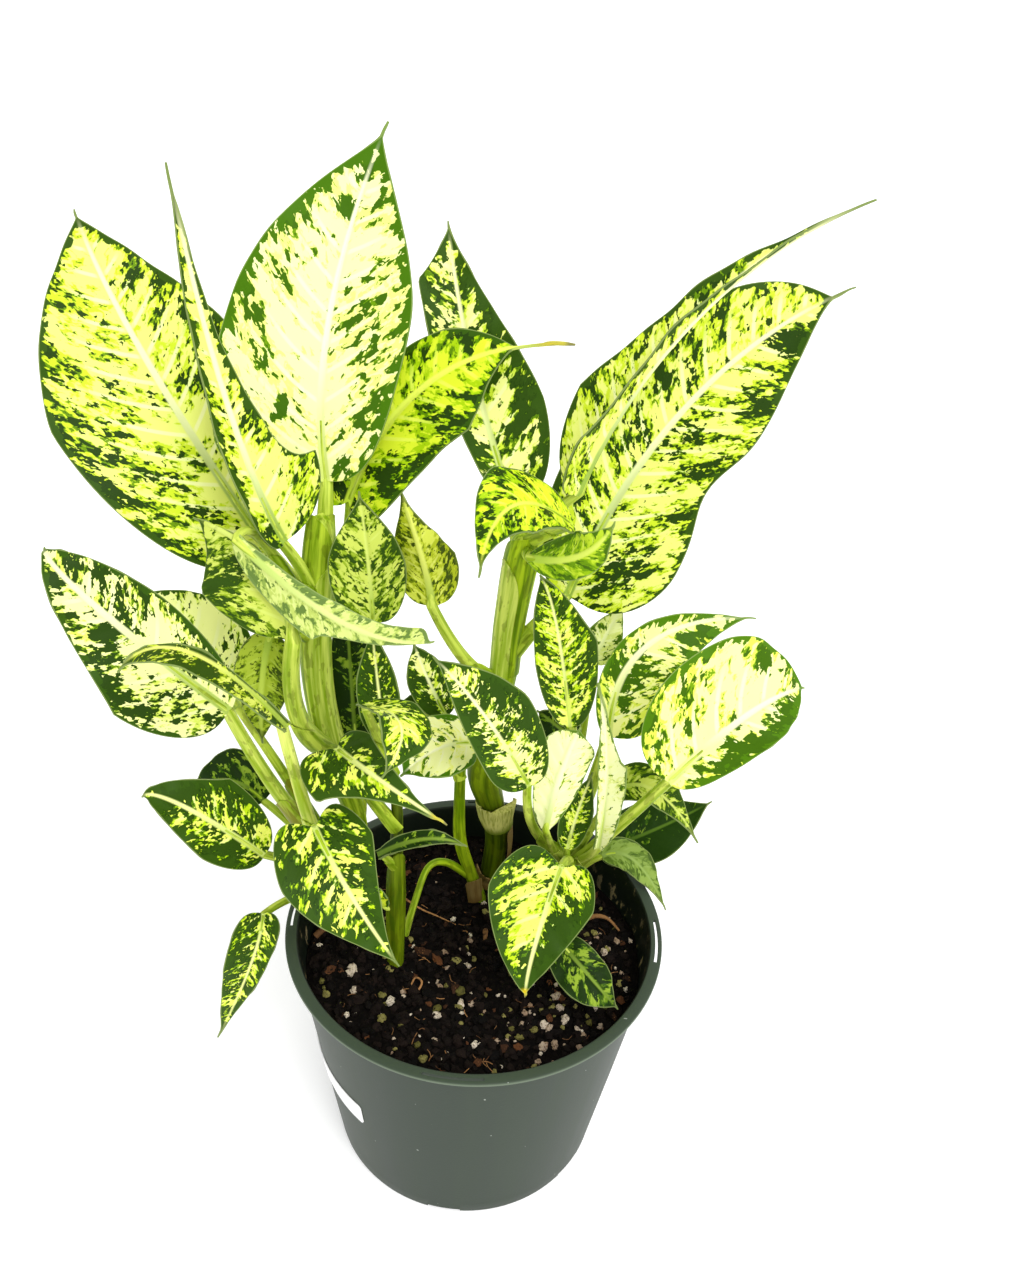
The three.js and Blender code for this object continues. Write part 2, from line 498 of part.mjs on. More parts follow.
// The blank stick-on label, a thin curved plate on the pot's left side
function label() {
  const steps = LABEL_STEPS;
  const wallTop = POT_HEIGHT - FLANGE_THICK;
  const outerAt = (z) => THREE.MathUtils.mapLinear(z, BASE_ROUND, wallTop, BASE_RADIUS, TOP_RADIUS);
  const vertices = [];
  for (const z of [LABEL_LOW, LABEL_HIGH]) {
    for (const off of [GAP, GAP + LABEL_THICK]) {
      for (let i = 0; i <= steps; i++) {
        const angle = THREE.MathUtils.degToRad(LABEL_FROM + ((LABEL_TO - LABEL_FROM) * i) / steps);
        const r = outerAt(z) + off;
        vertices.push(new THREE.Vector3(r * Math.cos(angle), r * Math.sin(angle), z));
      }
    }
  }
  const n = steps + 1;
  const faces = [];
  const strip = (a, b) => {
    for (let i = 0; i < steps; i++) {
      faces.push([a + i, a + i + 1, b + i + 1], [a + i, b + i + 1, b + i]);
    }
  };
  strip(n, 3 * n);
  strip(2 * n, 0);
  strip(0, n);
  strip(3 * n, 2 * n);
  faces.push([0, n, 3 * n], [0, 3 * n, 2 * n]);
  const e = steps;
  faces.push([e, 2 * n + e, 3 * n + e], [e, 3 * n + e, n + e]);
  return toSolid(gridGeometry(vertices, faces));
}

// Putting the plant together
addPiece("pot", pot(), "pot");
addPiece("label", label(), "label");

const shoots = {};
let ground = soil();
for (const [name, points] of Object.entries(SHOOTS)) {
  shoots[name] = [stem(points, SHOOT_SIDES, SHOOT_STEPS)];
  const [root, ...rest] = points.slice(0, 3);
  const hole = [[root[0], root[1], root[2] - HOLE_PLAY, root[3]], ...rest];
  ground = ground.subtract(stem(hole, SHOOT_SIDES, HOLE_STEPS, HOLE_PLAY));
}
shoots.shoot_thin.push(stem(KINKED_STALK, STALK_SIDES, KINK_STEPS));
ground = ground.subtract(stem(KINKED_STALK.slice(3), STALK_SIDES, HOLE_STEPS, HOLE_PLAY));
for (const [name, leaf] of Object.entries(LEAVES)) {
  shoots[leaf.on].push(stalk(leaf));
  addPiece(name, blade(leaf).subtract(stalk(leaf, GAP)), "leaf");
}
for (const [name, parts] of Object.entries(shoots)) {
  addPiece(name, wasm.Manifold.union(parts), "stem");
}
addPiece("soil", ground, "soil");

export default plant;
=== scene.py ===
import math
import random
import statistics

import bpy
import numpy as np
from mathutils import Matrix, Vector, noise


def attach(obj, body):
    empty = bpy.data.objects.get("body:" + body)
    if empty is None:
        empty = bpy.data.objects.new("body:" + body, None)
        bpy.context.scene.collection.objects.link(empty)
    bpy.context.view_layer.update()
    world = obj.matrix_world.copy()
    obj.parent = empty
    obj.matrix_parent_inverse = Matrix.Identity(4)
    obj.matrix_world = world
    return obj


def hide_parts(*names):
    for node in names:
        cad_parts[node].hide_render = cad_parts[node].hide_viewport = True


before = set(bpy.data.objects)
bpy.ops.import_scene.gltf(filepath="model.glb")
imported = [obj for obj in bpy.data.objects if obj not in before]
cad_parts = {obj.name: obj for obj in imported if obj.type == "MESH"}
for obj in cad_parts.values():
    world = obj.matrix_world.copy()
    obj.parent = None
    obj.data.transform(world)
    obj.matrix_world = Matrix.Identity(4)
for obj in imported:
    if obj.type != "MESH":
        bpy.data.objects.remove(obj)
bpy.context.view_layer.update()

# The plant is seen from in front and above, at the height of a face bent over a table.
# The camera leans a little to one side, as one held in the hand does.
CAMERA_PLACE = (0, -0.365, 0.510)
LOOKS_DOWN = math.radians(32.8)
TURNS_RIGHT = math.radians(1.3)
LEANS = math.radians(3.7)
PICTURE_HEIGHT = 1277
FOCUS_PIXELS = 1150
SENSOR = 36

aim = Matrix.Rotation(-TURNS_RIGHT, 3, "Z") @ Matrix.Rotation(math.pi / 2 - LOOKS_DOWN, 3, "X")
aim = aim @ Matrix.Rotation(LEANS, 3, "Z")
bpy.ops.object.camera_add(location=CAMERA_PLACE, rotation=aim.to_euler())
camera = bpy.context.object
camera.data.sensor_width = SENSOR
camera.data.lens = FOCUS_PIXELS * SENSOR / PICTURE_HEIGHT
camera.data.clip_start = 0.01
bpy.context.scene.camera = camera

# The plant stands on a plain white sheet under a bright white sky of soft light. A broad soft sun from
# the front, high on the right, makes the blades on that side the palest.
SHEET_SIZE = 30
SHEET_WHITE = 0.9
SHEET_GLOW = 0.25
SKY_STRENGTH = 0.92
SUN_FROM = Vector((0.35, -0.6, 0.8))
SUN_STRENGTH = 1.9
SUN_WIDTH = math.radians(35)

bpy.ops.mesh.primitive_plane_add(size=SHEET_SIZE)
sheet = bpy.context.object
sheet.name = "sheet"
paper = bpy.data.materials.new("white_paper")
paper.use_nodes = True
paper_shader = paper.node_tree.nodes["Principled BSDF"]
paper_shader.inputs["Base Color"].default_value = (SHEET_WHITE, SHEET_WHITE, SHEET_WHITE, 1)
paper_shader.inputs["Roughness"].default_value = 0.9
paper_shader.inputs["Specular IOR Level"].default_value = 0.2
paper_shader.inputs["Emission Color"].default_value = (1, 1, 1, 1)
paper_shader.inputs["Emission Strength"].default_value = SHEET_GLOW
sheet.data.materials.append(paper)

sky = bpy.data.worlds.new("soft_white_sky")
sky.use_nodes = True
sky.node_tree.nodes["Background"].inputs["Color"].default_value = (1, 1, 1, 1)
sky.node_tree.nodes["Background"].inputs["Strength"].default_value = SKY_STRENGTH
bpy.context.scene.world = sky
bpy.context.scene.view_settings.view_transform = "Standard"

bpy.ops.object.light_add(type="SUN", rotation=SUN_FROM.to_track_quat("Z", "Y").to_euler())
sun = bpy.context.object
sun.data.energy = SUN_STRENGTH
sun.data.angle = SUN_WIDTH

# The nursery pot is moulded in one thin piece of dark grey-green plastic. Its tapered wall ends in a flat
# flange with four thin slots, and the base has six shallow notches at its edge and six drain holes.
MM = 0.001
POT_HEIGHT = 122
BASE_RADIUS = 63
TOP_RADIUS = 80
FLANGE_RADIUS = 84
FLANGE_THICK = 1.6
FLOOR_THICK = 2.4
POT_SIDES = 192
SMOOTH_UNDER = math.radians(50)
SLOT_RADIUS = 81.6
SLOT_WIDTH = 1.2
SLOT_LENGTH = 25
SLOT_STEPS = 8
SLOT_ANGLES = (-94, -4, 86, 176)
NOTCH_COUNT = 6
NOTCH_FIRST = -97
NOTCH_SIZE = (18, 15, 4)
DRAIN_CIRCLE = 50
DRAIN_RADIUS = 4
DRAIN_SIDES = 32
CUT_DEPTH = 20
# radius and height of each ring of the pot, from the base up the outside and down the inside
POT_RINGS = [
    (62, 0), (62.7, 0.3), (63, 1), (63.9, 7.5), (71.5, 60), (79.4, 116), (79.9, 119), (80.3, 120.4),
    (83.6, 120.4), (84, 120.8), (84, 121.5), (83.7, 121.9), (83.2, 122), (79.4, 122), (78.8, 121.7),
    (78.5, 121), (77.6, 115), (70, 60), (61.9, 3.6), (61.2, 2.4),
]


class Wire:
    """One socket of a material, so that its maths can be written as sums."""

    def __init__(self, tree, socket=None):
        self.tree = tree
        self.socket = socket

    def node(self, kind, settings, inputs, output=0):
        made = self.tree.nodes.new(kind)
        for setting, value in settings.items():
            setattr(made, setting, value)
        for key, value in inputs.items():
            if isinstance(value, Wire):
                self.tree.links.new(made.inputs[key], value.socket)
            else:
                made.inputs[key].default_value = value
        return Wire(self.tree, made.outputs[output])

    def maths(self, operation, *values):
        return self.node("ShaderNodeMath", {"operation": operation}, dict(enumerate(values)))

    def __add__(self, other):
        return self.maths("ADD", self, other)

    __radd__ = __add__

    def __mul__(self, other):
        return self.maths("MULTIPLY", self, other)

    __rmul__ = __mul__

    def __sub__(self, other):
        return self.maths("SUBTRACT", self, other)

    def __rsub__(self, other):
        return self.maths("SUBTRACT", other, self)

    def __truediv__(self, other):
        return self.maths("DIVIDE", self, other)

    def __pow__(self, other):
        return self.maths("POWER", self, other)

    def between(self, low, high):
        ends = {"Value": self, "From Min": low, "From Max": high}
        return self.node("ShaderNodeMapRange", {"interpolation_type": "SMOOTHSTEP"}, ends)

    def colours(self, first, second):
        return self.node("ShaderNodeMix", {"data_type": "RGBA"}, {0: self, 6: first, 7: second}, 2)

    def parts(self):
        return [self.node("ShaderNodeSeparateXYZ", {}, {0: self}, k) for k in range(3)]

    def joined(self, x, y, z):
        return self.node("ShaderNodeCombineXYZ", {}, {0: x, 1: y, 2: z})

    def noise(self, place, scale, detail=2.0, roughness=0.5, distortion=0.0):
        sockets = {"Vector": place, "Scale": scale, "Detail": detail, "Roughness": roughness,
                   "Distortion": distortion}
        return self.node("ShaderNodeTexNoise", {}, sockets)

    def attribute(self, name, output="Vector"):
        return self.node("ShaderNodeAttribute", {"attribute_name": name}, {}, output)

    def objects_place(self):
        return self.node("ShaderNodeTexCoord", {}, {}, "Object")


def tone(red, green, blue):
    """A colour as a paint chart gives it, 0 to 255, turned into the light that it sends back."""
    linear = [((c / 255 + 0.055) / 1.055) ** 2.4 if c > 10 else c / 255 / 12.92 for c in (red, green, blue)]
    return (*linear, 1)


def new_finish(name, roughness, specular=0.5):
    material = bpy.data.materials.new(name)
    material.use_nodes = True
    shader = material.node_tree.nodes["Principled BSDF"]
    shader.inputs["Roughness"].default_value = roughness
    shader.inputs["Specular IOR Level"].default_value = specular
    return material, shader, Wire(material.node_tree)


def connect(wire, shader, socket):
    wire.tree.links.new(shader.inputs[socket], wire.socket)


def roughen(shader, height, distance, strength=1.0):
    bump = height.node("ShaderNodeBump", {}, {"Height": height, "Distance": distance, "Strength": strength})
    connect(bump, shader, "Normal")


def coat(piece, finish, shader, colour, grain, depth, strength=1.0):
    """Gives the piece its finish, with this colour and with a grain as deep as depth, in metres."""
    connect(colour, shader, "Base Color")
    roughen(shader, grain, depth, strength)
    piece.data.materials.append(finish)


def select_only(*pieces):
    bpy.ops.object.select_all(action="DESELECT")
    for piece in pieces:
        piece.select_set(True)
    bpy.context.view_layer.objects.active = pieces[0]


def apply_modifier(piece, kind, **settings):
    select_only(piece)
    modifier = piece.modifiers.new(kind.lower(), kind)
    for setting, value in settings.items():
        setattr(modifier, setting, value)
    bpy.ops.object.modifier_apply(modifier=modifier.name)


def hand_in(piece, slot, *nodes):
    """Tells the frame which body the finished piece rides on and which solids it stands for."""
    select_only(piece)
    bpy.ops.object.shade_smooth_by_angle(angle=SMOOTH_UNDER)
    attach(piece, "root")
    if nodes:
        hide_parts(*nodes)


def cut_with(piece, cutter):
    apply_modifier(piece, "BOOLEAN", operation="DIFFERENCE", solver="EXACT", object=cutter)
    bpy.data.objects.remove(cutter)


bpy.ops.object.select_all(action="DESELECT")
first_radius, first_height = POT_RINGS[0]
bpy.ops.mesh.primitive_circle_add(vertices=POT_SIDES, radius=first_radius * MM, fill_type="NGON")
pot = bpy.context.object
pot.name = "nursery_pot"
bpy.ops.object.mode_set(mode="EDIT")
bpy.ops.mesh.select_all(action="SELECT")
last_radius, last_height = first_radius, first_height
for ring_radius, ring_height in POT_RINGS[1:]:
    rise = (0, 0, (ring_height - last_height) * MM)
    bpy.ops.mesh.extrude_region_move(TRANSFORM_OT_translate={"value": rise})
    widen = ring_radius / last_radius
    bpy.ops.transform.resize(value=(widen, widen, 1))
    last_radius, last_height = ring_radius, ring_height
bpy.ops.mesh.select_all(action="SELECT")
bpy.ops.mesh.normals_make_consistent(inside=False)
bpy.ops.object.mode_set(mode="OBJECT")

# a positive spin runs clockwise, so each slot is cut from its anticlockwise end
for slot_angle in SLOT_ANGLES:
    spread = SLOT_LENGTH / SLOT_RADIUS
    start_angle = math.radians(slot_angle) + spread / 2
    bpy.ops.mesh.primitive_plane_add(size=1, rotation=(math.pi / 2, 0, 0), location=(SLOT_RADIUS * MM, 0, 0))
    slot_cutter = bpy.context.object
    slot_cutter.scale = (SLOT_WIDTH * MM, 4 * FLANGE_THICK * MM, 1)
    slot_cutter.location.z = POT_HEIGHT * MM
    bpy.ops.object.transform_apply(location=True, rotation=True, scale=True)
    slot_cutter.data.transform(Matrix.Rotation(start_angle, 4, "Z"))
    bpy.ops.object.mode_set(mode="EDIT")
    bpy.ops.mesh.select_all(action="SELECT")
    bpy.ops.mesh.spin(steps=SLOT_STEPS, angle=spread, center=(0, 0, 0), axis=(0, 0, 1))
    bpy.ops.mesh.select_all(action="SELECT")
    bpy.ops.mesh.normals_make_consistent(inside=False)
    bpy.ops.object.mode_set(mode="OBJECT")
    cut_with(pot, slot_cutter)

for notch_index in range(NOTCH_COUNT):
    notch_angle = math.radians(NOTCH_FIRST + 360 * notch_index / NOTCH_COUNT)
    outward = Vector((math.cos(notch_angle), math.sin(notch_angle), 0))
    bpy.ops.mesh.primitive_cube_add(size=1, location=outward * BASE_RADIUS * MM, rotation=(0, 0, notch_angle))
    notch_cutter = bpy.context.object
    notch_cutter.scale = [length * MM for length in NOTCH_SIZE]
    cut_with(pot, notch_cutter)
    bpy.ops.mesh.primitive_cylinder_add(vertices=DRAIN_SIDES, radius=DRAIN_RADIUS * MM, depth=CUT_DEPTH * MM,
                                        location=outward * DRAIN_CIRCLE * MM)
    cut_with(pot, bpy.context.object)

# The flange is paler than the wall, with a painted highlight along its outer edge, and the wall just below it
# is painted darker as painted shade under the flange. Inside the pot, the wall is painted dark as painted
# shade, and the lime in the water has left a thin beige crust above the soil. These places are in
# millimetres.
FLANGE_FOOT = POT_HEIGHT - FLANGE_THICK
HIGHLIGHT_EDGE_WIDTH = 0.3
SHADE_FROM = 116.5
SHADE_FULL = 118
INNER_SKIN = 0.7
CRUST_FROM = 50
CRUST_FULL = 72

pot_finish, pot_shader, pot_wire = new_finish("green_nursery_plastic", 0.42, 0.22)
pot_place = pot_wire.objects_place()
pot_x, pot_y, pot_z = (part * 1000 for part in pot_place.parts())
pot_radius = (pot_x * pot_x + pot_y * pot_y) ** 0.5
pot_round = pot_wire.maths("ARCTAN2", pot_y, pot_x)
streaks = pot_wire.noise(pot_wire.joined(pot_round * 6, pot_z * 0.004, 0.0), 1.0, 3.0)
grain = pot_wire.noise(pot_place, 900.0, 2.0)
plastic = streaks.between(0.35, 0.7).colours(tone(39, 51, 39), tone(45, 57, 43))
shade_share = pot_radius.between(TOP_RADIUS - 1, TOP_RADIUS - 0.7) * pot_z.between(SHADE_FROM, SHADE_FULL)
plastic = (shade_share * 0.9).colours(plastic, tone(14, 20, 14))
plastic = pot_z.between(FLANGE_FOOT - 0.2, FLANGE_FOOT + 0.2).colours(plastic, tone(58, 70, 55))
# a painted highlight: a thin pale line round the flange's outer edge
painted_edge_highlight = pot_radius.between(FLANGE_RADIUS - HIGHLIGHT_EDGE_WIDTH, FLANGE_RADIUS) * 0.6
plastic = painted_edge_highlight.colours(plastic, tone(116, 130, 108))
speck = pot_wire.noise(pot_place, 420.0, 1.0).between(0.80, 0.82)
plastic = speck.colours(plastic, tone(150, 156, 146))
inner_wall = pot_z * ((TOP_RADIUS - BASE_RADIUS) / POT_HEIGHT) + (BASE_RADIUS - INNER_SKIN) - pot_radius
inner_wall = inner_wall.between(0.0, 0.3)
crust_noise = pot_wire.noise(pot_wire.joined(pot_round * 14, pot_z * 0.09, 3.0), 1.0, 5.0, 0.65)
crust_side = pot_wire.maths("ABSOLUTE", pot_x).between(CRUST_FROM, CRUST_FULL)
crust = (crust_noise - crust_side * 0.08).between(0.50, 0.56) * crust_side * inner_wall * 0.6
# painted shade: the inside wall is painted much darker than the outside
plastic = (inner_wall * 0.85).colours(plastic, tone(10, 16, 10))
plastic = crust.colours(plastic, tone(176, 158, 116))
connect(0.4 + streaks * 0.12 + crust * 0.3, pot_shader, "Roughness")
coat(pot, pot_finish, pot_shader, plastic, grain + crust * 2, 0.00006, 0.5)
hand_in(pot, "pot", "pot")

# The label is a blank white sticker, bent round the pot's left side, with softly rounded corners and a
# faint paper grain.
LABEL_FROM = 185
LABEL_TO = 231
LABEL_LOW = 51
LABEL_HIGH = 65
LABEL_CORNER = 1.6
LABEL_THICK = 0.35
LABEL_LIFT = 0.25
LABEL_GRID = (60, 18)


def numbers_to_mesh(piece, points):
    piece.data.vertices.foreach_set("co", np.asarray(points, dtype=np.float32).ravel() * MM)
    piece.data.update()


def grid_piece(name, columns, rows):
    """A flat sheet of columns by rows faces. Its points run along each row, and the rows run upwards."""
    bpy.ops.object.select_all(action="DESELECT")
    bpy.ops.mesh.primitive_grid_add(x_subdivisions=columns, y_subdivisions=rows, size=2)
    piece = bpy.context.object
    piece.name = name
    return piece


label = grid_piece("blank_label", *LABEL_GRID)
label_points = []
half_high = (LABEL_HIGH - LABEL_LOW) / 2
half_long = math.radians(LABEL_TO - LABEL_FROM) / 2 * (BASE_RADIUS + TOP_RADIUS) / 2
wall_slope = (TOP_RADIUS - BASE_RADIUS) / (POT_HEIGHT - FLANGE_THICK - 1)
for corner in label.data.vertices:
    angle = math.radians(LABEL_FROM + (LABEL_TO - LABEL_FROM) * (corner.co.x + 1) / 2)
    from_end = (1 - abs(corner.co.x)) * half_long
    cut = max(0, 1 - from_end / LABEL_CORNER)
    shorten = LABEL_CORNER * (1 - math.sqrt(1 - cut * cut)) * abs(corner.co.y)
    height = (LABEL_LOW + LABEL_HIGH) / 2 + corner.co.y * half_high - math.copysign(shorten, corner.co.y)
    radius = BASE_RADIUS + wall_slope * (height - 1) + LABEL_LIFT + LABEL_THICK
    label_points.append((radius * math.cos(angle), radius * math.sin(angle), height))
numbers_to_mesh(label, label_points)
apply_modifier(label, "SOLIDIFY", thickness=LABEL_THICK * MM, offset=-1)

label_finish, label_shader, label_wire = new_finish("white_label_film", 0.5)
label_grain = label_wire.noise(label_wire.objects_place(), 1500.0, 2.0)
label_tone = label_grain.colours(tone(240, 240, 238), tone(250, 250, 249))
coat(label, label_finish, label_shader, label_tone, label_grain, 0.00003, 0.4)
hand_in(label, "label", "label")

# The potting mix is black-brown peat. Its crumbled top carries white and beige perlite, olive grains, tan
# bark chips, a few twigs and fibres, all pressed in by watering.
SOIL_LEVEL = 103
SOIL_SWELL = 1.6
SOIL_RADIUS = 75.6
SOIL_FOOT_RADIUS = 61
SOIL_BOTTOM = FLOOR_THICK + 0.3
SOIL_COLUMNS = 200
SOIL_TOP_ROWS = 70
SOIL_ROWS = SOIL_TOP_ROWS + 2
BROAD_SWELL = (9, 11)
SMALL_SWELL = (4.3, 5.1)
SMALL_SHARE = 0.6
CRUMBLE = 1.1
CRUMBLE_SCALE = 0.35
CRUMBLE_DETAIL = (0.8, 2.2, 4)


def soil_height(x, y):
    lumps = math.sin(x / BROAD_SWELL[0] + 1) * math.cos(y / BROAD_SWELL[1])
    lumps += SMALL_SHARE * math.sin(x / SMALL_SWELL[0]) * math.sin(y / SMALL_SWELL[1] + 2)
    return SOIL_LEVEL + SOIL_SWELL * lumps


def merge_seam(piece):
    select_only(piece)
    bpy.ops.object.mode_set(mode="EDIT")
    bpy.ops.mesh.select_all(action="SELECT")
    bpy.ops.mesh.remove_doubles(threshold=0.000002)
    bpy.ops.mesh.normals_make_consistent(inside=False)
    bpy.ops.object.mode_set(mode="OBJECT")


soil = grid_piece("potting_mix", SOIL_COLUMNS, SOIL_ROWS)
soil_points = []
for row in range(SOIL_ROWS + 1):
    for column in range(SOIL_COLUMNS + 1):
        angle = 2 * math.pi * (column % SOIL_COLUMNS) / SOIL_COLUMNS
        out = SOIL_RADIUS * row / SOIL_TOP_ROWS
        if row > SOIL_TOP_ROWS:
            out = SOIL_FOOT_RADIUS if row < SOIL_ROWS else 0
        x, y = out * math.cos(angle), out * math.sin(angle)
        height = soil_height(x, y)
        if row < SOIL_TOP_ROWS:
            height += CRUMBLE * noise.fractal(Vector((x, y, 4)) * CRUMBLE_SCALE, *CRUMBLE_DETAIL)
        if row > SOIL_TOP_ROWS:
            height = SOIL_BOTTOM
        soil_points.append((x, y, height))
numbers_to_mesh(soil, soil_points)
merge_seam(soil)

soil_finish, soil_shader, soil_wire = new_finish("dark_peat", 0.85, 0.08)
soil_place = soil_wire.objects_place()
peat = soil_wire.noise(soil_place, 500.0, 5.0, 0.65)
damp = soil_wire.noise(soil_place, 60.0, 3.0)
peat_tone = peat.between(0.35, 0.75).colours(tone(3, 2, 1), tone(18, 12, 9))
peat_tone = (damp.between(0.45, 0.75) * 0.6).colours(peat_tone, tone(6, 4, 3))
coat(soil, soil_finish, soil_shader, peat_tone, peat, 0.0006, 0.8)
hand_in(soil, "soil", "soil")

# the grains are copies of a few lumps, turned and stretched by chance within these bounds
LUMP_SWELL = 1.7
SMALLER_OFTENER = 2.2
CROWD_MIDDLE = 0.35
ANY_TURN = (0, 6.3)
TILT_MOST = 0.6
GRAIN_LONG = (0.8, 1.4)
GRAIN_WIDE = (0.6, 1)


def lump_shapes(count, fineness, unevenness):
    """A few lumps of about 1 mm radius, each a ball pushed about by noise, as points and triangles."""
    shapes = []
    for k in range(count):
        bpy.ops.object.select_all(action="DESELECT")
        bpy.ops.mesh.primitive_ico_sphere_add(subdivisions=fineness, radius=1)
        lump = bpy.context.object
        points = np.array([v.co * (1 + unevenness * noise.noise(v.co * LUMP_SWELL + Vector((k, 0, 0))))
                           for v in lump.data.vertices])
        triangles = np.array([tuple(face.vertices) for face in lump.data.polygons])
        shapes.append((points, triangles))
        bpy.data.objects.remove(lump)
    return shapes


def write_attribute(piece, name, kind, values):
    attribute = piece.data.attributes.new(name, kind, "POINT")
    key = "value" if kind == "FLOAT" else "vector"
    attribute.data.foreach_set(key, np.asarray(values, dtype=np.float32).ravel())


def lying_grains(name, shapes, count, sizes, flatness, sink, seed, crowd):
    """Copies of the lumps, turned and scaled by chance, lying in the top of the soil as one piece. sizes are
    the least and the largest radius, and crowd is how much the grains gather at the front right."""
    draw = random.Random(seed)
    points, triangles, shades, start = [], [], [], 0
    while len(points) < count:
        out = (SOIL_RADIUS - sizes[1]) * math.sqrt(draw.random())
        angle = draw.uniform(0, 2 * math.pi)
        x, y = out * math.cos(angle), out * math.sin(angle)
        if draw.random() < crowd * ((y - x / 2) / SOIL_RADIUS + CROWD_MIDDLE):
            continue
        size = sizes[0] + (sizes[1] - sizes[0]) * draw.random() ** SMALLER_OFTENER
        shape, faces = shapes[draw.randrange(len(shapes))]
        turn = Matrix.Rotation(draw.uniform(*ANY_TURN), 3, "Z")
        turn = turn @ Matrix.Rotation(draw.uniform(-TILT_MOST, TILT_MOST), 3, "X")
        stretch = np.array([draw.uniform(*GRAIN_LONG), draw.uniform(*GRAIN_WIDE), draw.uniform(*flatness)])
        place = np.array([x, y, soil_height(x, y) + size * sink])
        points.append((shape * stretch * size) @ np.array(turn).T + place)
        triangles.append(faces + start)
        shades.append(np.full(len(shape), draw.random()))
        start += len(shape)
    mesh = bpy.data.meshes.new(name)
    mesh.from_pydata((np.concatenate(points) * MM).tolist(), [], np.concatenate(triangles).tolist())
    piece = bpy.data.objects.new(name, mesh)
    bpy.context.scene.collection.objects.link(piece)
    write_attribute(piece, "shade", "FLOAT", np.concatenate(shades))
    return piece


def strew(name, finish_name, roughness, lumps, tones, pores_at, pore_depth, **lie):
    """One kind of grain, strewn in the mix. lumps is how many shapes there are, their fineness and their
    unevenness. Each grain takes its own tone between the first two, and its pores take the third."""
    grains = lying_grains(name, lump_shapes(*lumps), **lie)
    finish, shader, wire = new_finish(finish_name, roughness, 0.12)
    first_tone, second_tone, pore_tone = (tone(*each) for each in tones)
    pores = wire.noise(wire.objects_place(), 1400.0, 3.0, 0.6)
    colour = wire.attribute("shade", "Fac").colours(first_tone, second_tone)
    coat(grains, finish, shader, pores.between(*pores_at).colours(colour, pore_tone), pores, pore_depth)
    hand_in(grains, "soil", "soil")


strew("peat_crumbs", "peat_crumb", 0.8, lumps=(5, 2, 0.7), count=2400, sizes=(0.7, 2.6), flatness=(0.5, 0.9),
      sink=0.1, seed=11, crowd=0, tones=((3, 2, 1), (26, 17, 12), (56, 40, 30)), pores_at=(0.62, 0.8),
      pore_depth=0.0004)
strew("perlite_grains", "perlite", 0.7, lumps=(4, 3, 0.5), count=150, sizes=(0.6, 2.1), flatness=(0.7, 1),
      sink=0.25, seed=12, crowd=0.9, tones=((226, 214, 192), (150, 122, 96), (92, 68, 50)),
      pores_at=(0.52, 0.66), pore_depth=0.0005)
strew("olive_grains", "olive_grain", 0.6, lumps=(4, 3, 0.4), count=90, sizes=(1, 2.2), flatness=(0.6, 0.9),
      sink=0.2, seed=13, crowd=0.9, tones=((84, 80, 34), (140, 132, 74), (40, 34, 18)),
      pores_at=(0.54, 0.7), pore_depth=0.0004)
strew("bark_chips", "bark", 0.8, lumps=(4, 2, 0.6), count=60, sizes=(1.2, 3.4), flatness=(0.25, 0.4),
      sink=0.25, seed=14, crowd=0.5, tones=((96, 58, 32), (40, 25, 16), (150, 104, 64)),
      pores_at=(0.6, 0.75), pore_depth=0.0004)

# The canes are soft green stems, each with its leaf stalks grown out of it. A stalk is a juicy rod whose
# foot clasps the cane as an open sheath, and its head runs on into the midrib of its blade. Numbers are
# millimetres: points up the middle of a cane with the radius there, as x, y, z, radius.
ROOT_DEPTH = 80
SHOOTS = {
    "shoot_left": [
        (-50, 38, ROOT_DEPTH, 4.5), (-55, 38, 110, 4.5), (-58, 38, 151, 4.5), (-67, 38, 183, 5.4),
        (-72, 38, 213, 5.8), (-73, 37, 244, 6), (-70, 36, 284, 6), (-68, 38, 304, 5),
    ],
    "shoot_basal": [
        (-59, 24, ROOT_DEPTH, 4), (-60, 26, 100, 4.5), (-68, 27, 128, 4.5), (-74, 27, 150, 4),
    ],
    "shoot_centre": [
        (6, 46, ROOT_DEPTH, 6), (6, 46, 100, 5.6), (8, 44, 134, 5.4), (4, 43, 157, 6.4), (0, 43, 175, 7.3),
        (3, 42, 204, 6), (7, 41, 232, 5.6), (8, 41, 257, 5.8), (11, 40, 287, 6.4), (13, 38, 301, 5),
    ],
    "shoot_thin": [
        (3, 34, ROOT_DEPTH, 3), (2, 34, 100, 3.2), (-4, 34, 121, 3), (-9, 34, 140, 3), (-10, 32, 166, 2.6),
        (-10, 29, 195, 2.4),
    ],
    "shoot_front": [
        (-35, -8, ROOT_DEPTH, 3), (-35, -8, 100, 3), (-35, -6, 140, 3.6), (-35, -4, 168, 2.8),
        (-35, -2, 191, 2.4), (-38, 2, 211, 2.6), (-40, 8, 225, 2.4),
    ],
    "shoot_right": [
        (46, 46, ROOT_DEPTH, 4), (44, 46, 100, 4.5), (42, 44, 118, 4.5), (40, 40, 135, 4),
    ],
}
KINKED_STALK = [
    (-5, 34, 118, 2), (-15, 29, 130, 1.8), (-23, 24, 131, 1.6), (-28, 14, 120, 1.6), (-33, 7, 98, 1.8),
    (-33, 6, 84, 1.8),
]
# What a leaf is like where its row says nothing else. fold lifts the halves at the midrib, wave is the height
# of the edge's waves, twist turns the blade from base to tip, wide is how far along the blade is widest and
# full how slowly it narrows from there, heart draws the base lobes back, and the tip is as thin as a thread
# over the share drip. pinch draws the edge in, a third of the way along. dry turns the tip yellow and brown,
# stalk is the stalk's paleness, stout widens it and aged turns its sheath brown. A pair is for the left and
# the right half. patches are darker places, or paler ones where the strength is below nought: across, from
# -1 to 1, along, from 0 to 1, size and strength.
USUAL_LEAF = dict(fold=8, wave=1, twist=0, wide=0.38, full=1.8, heart=0.2, drip=0.03, pinch=0, dry=0,
                  stalk=0.5, stout=1, aged=0, patches=())


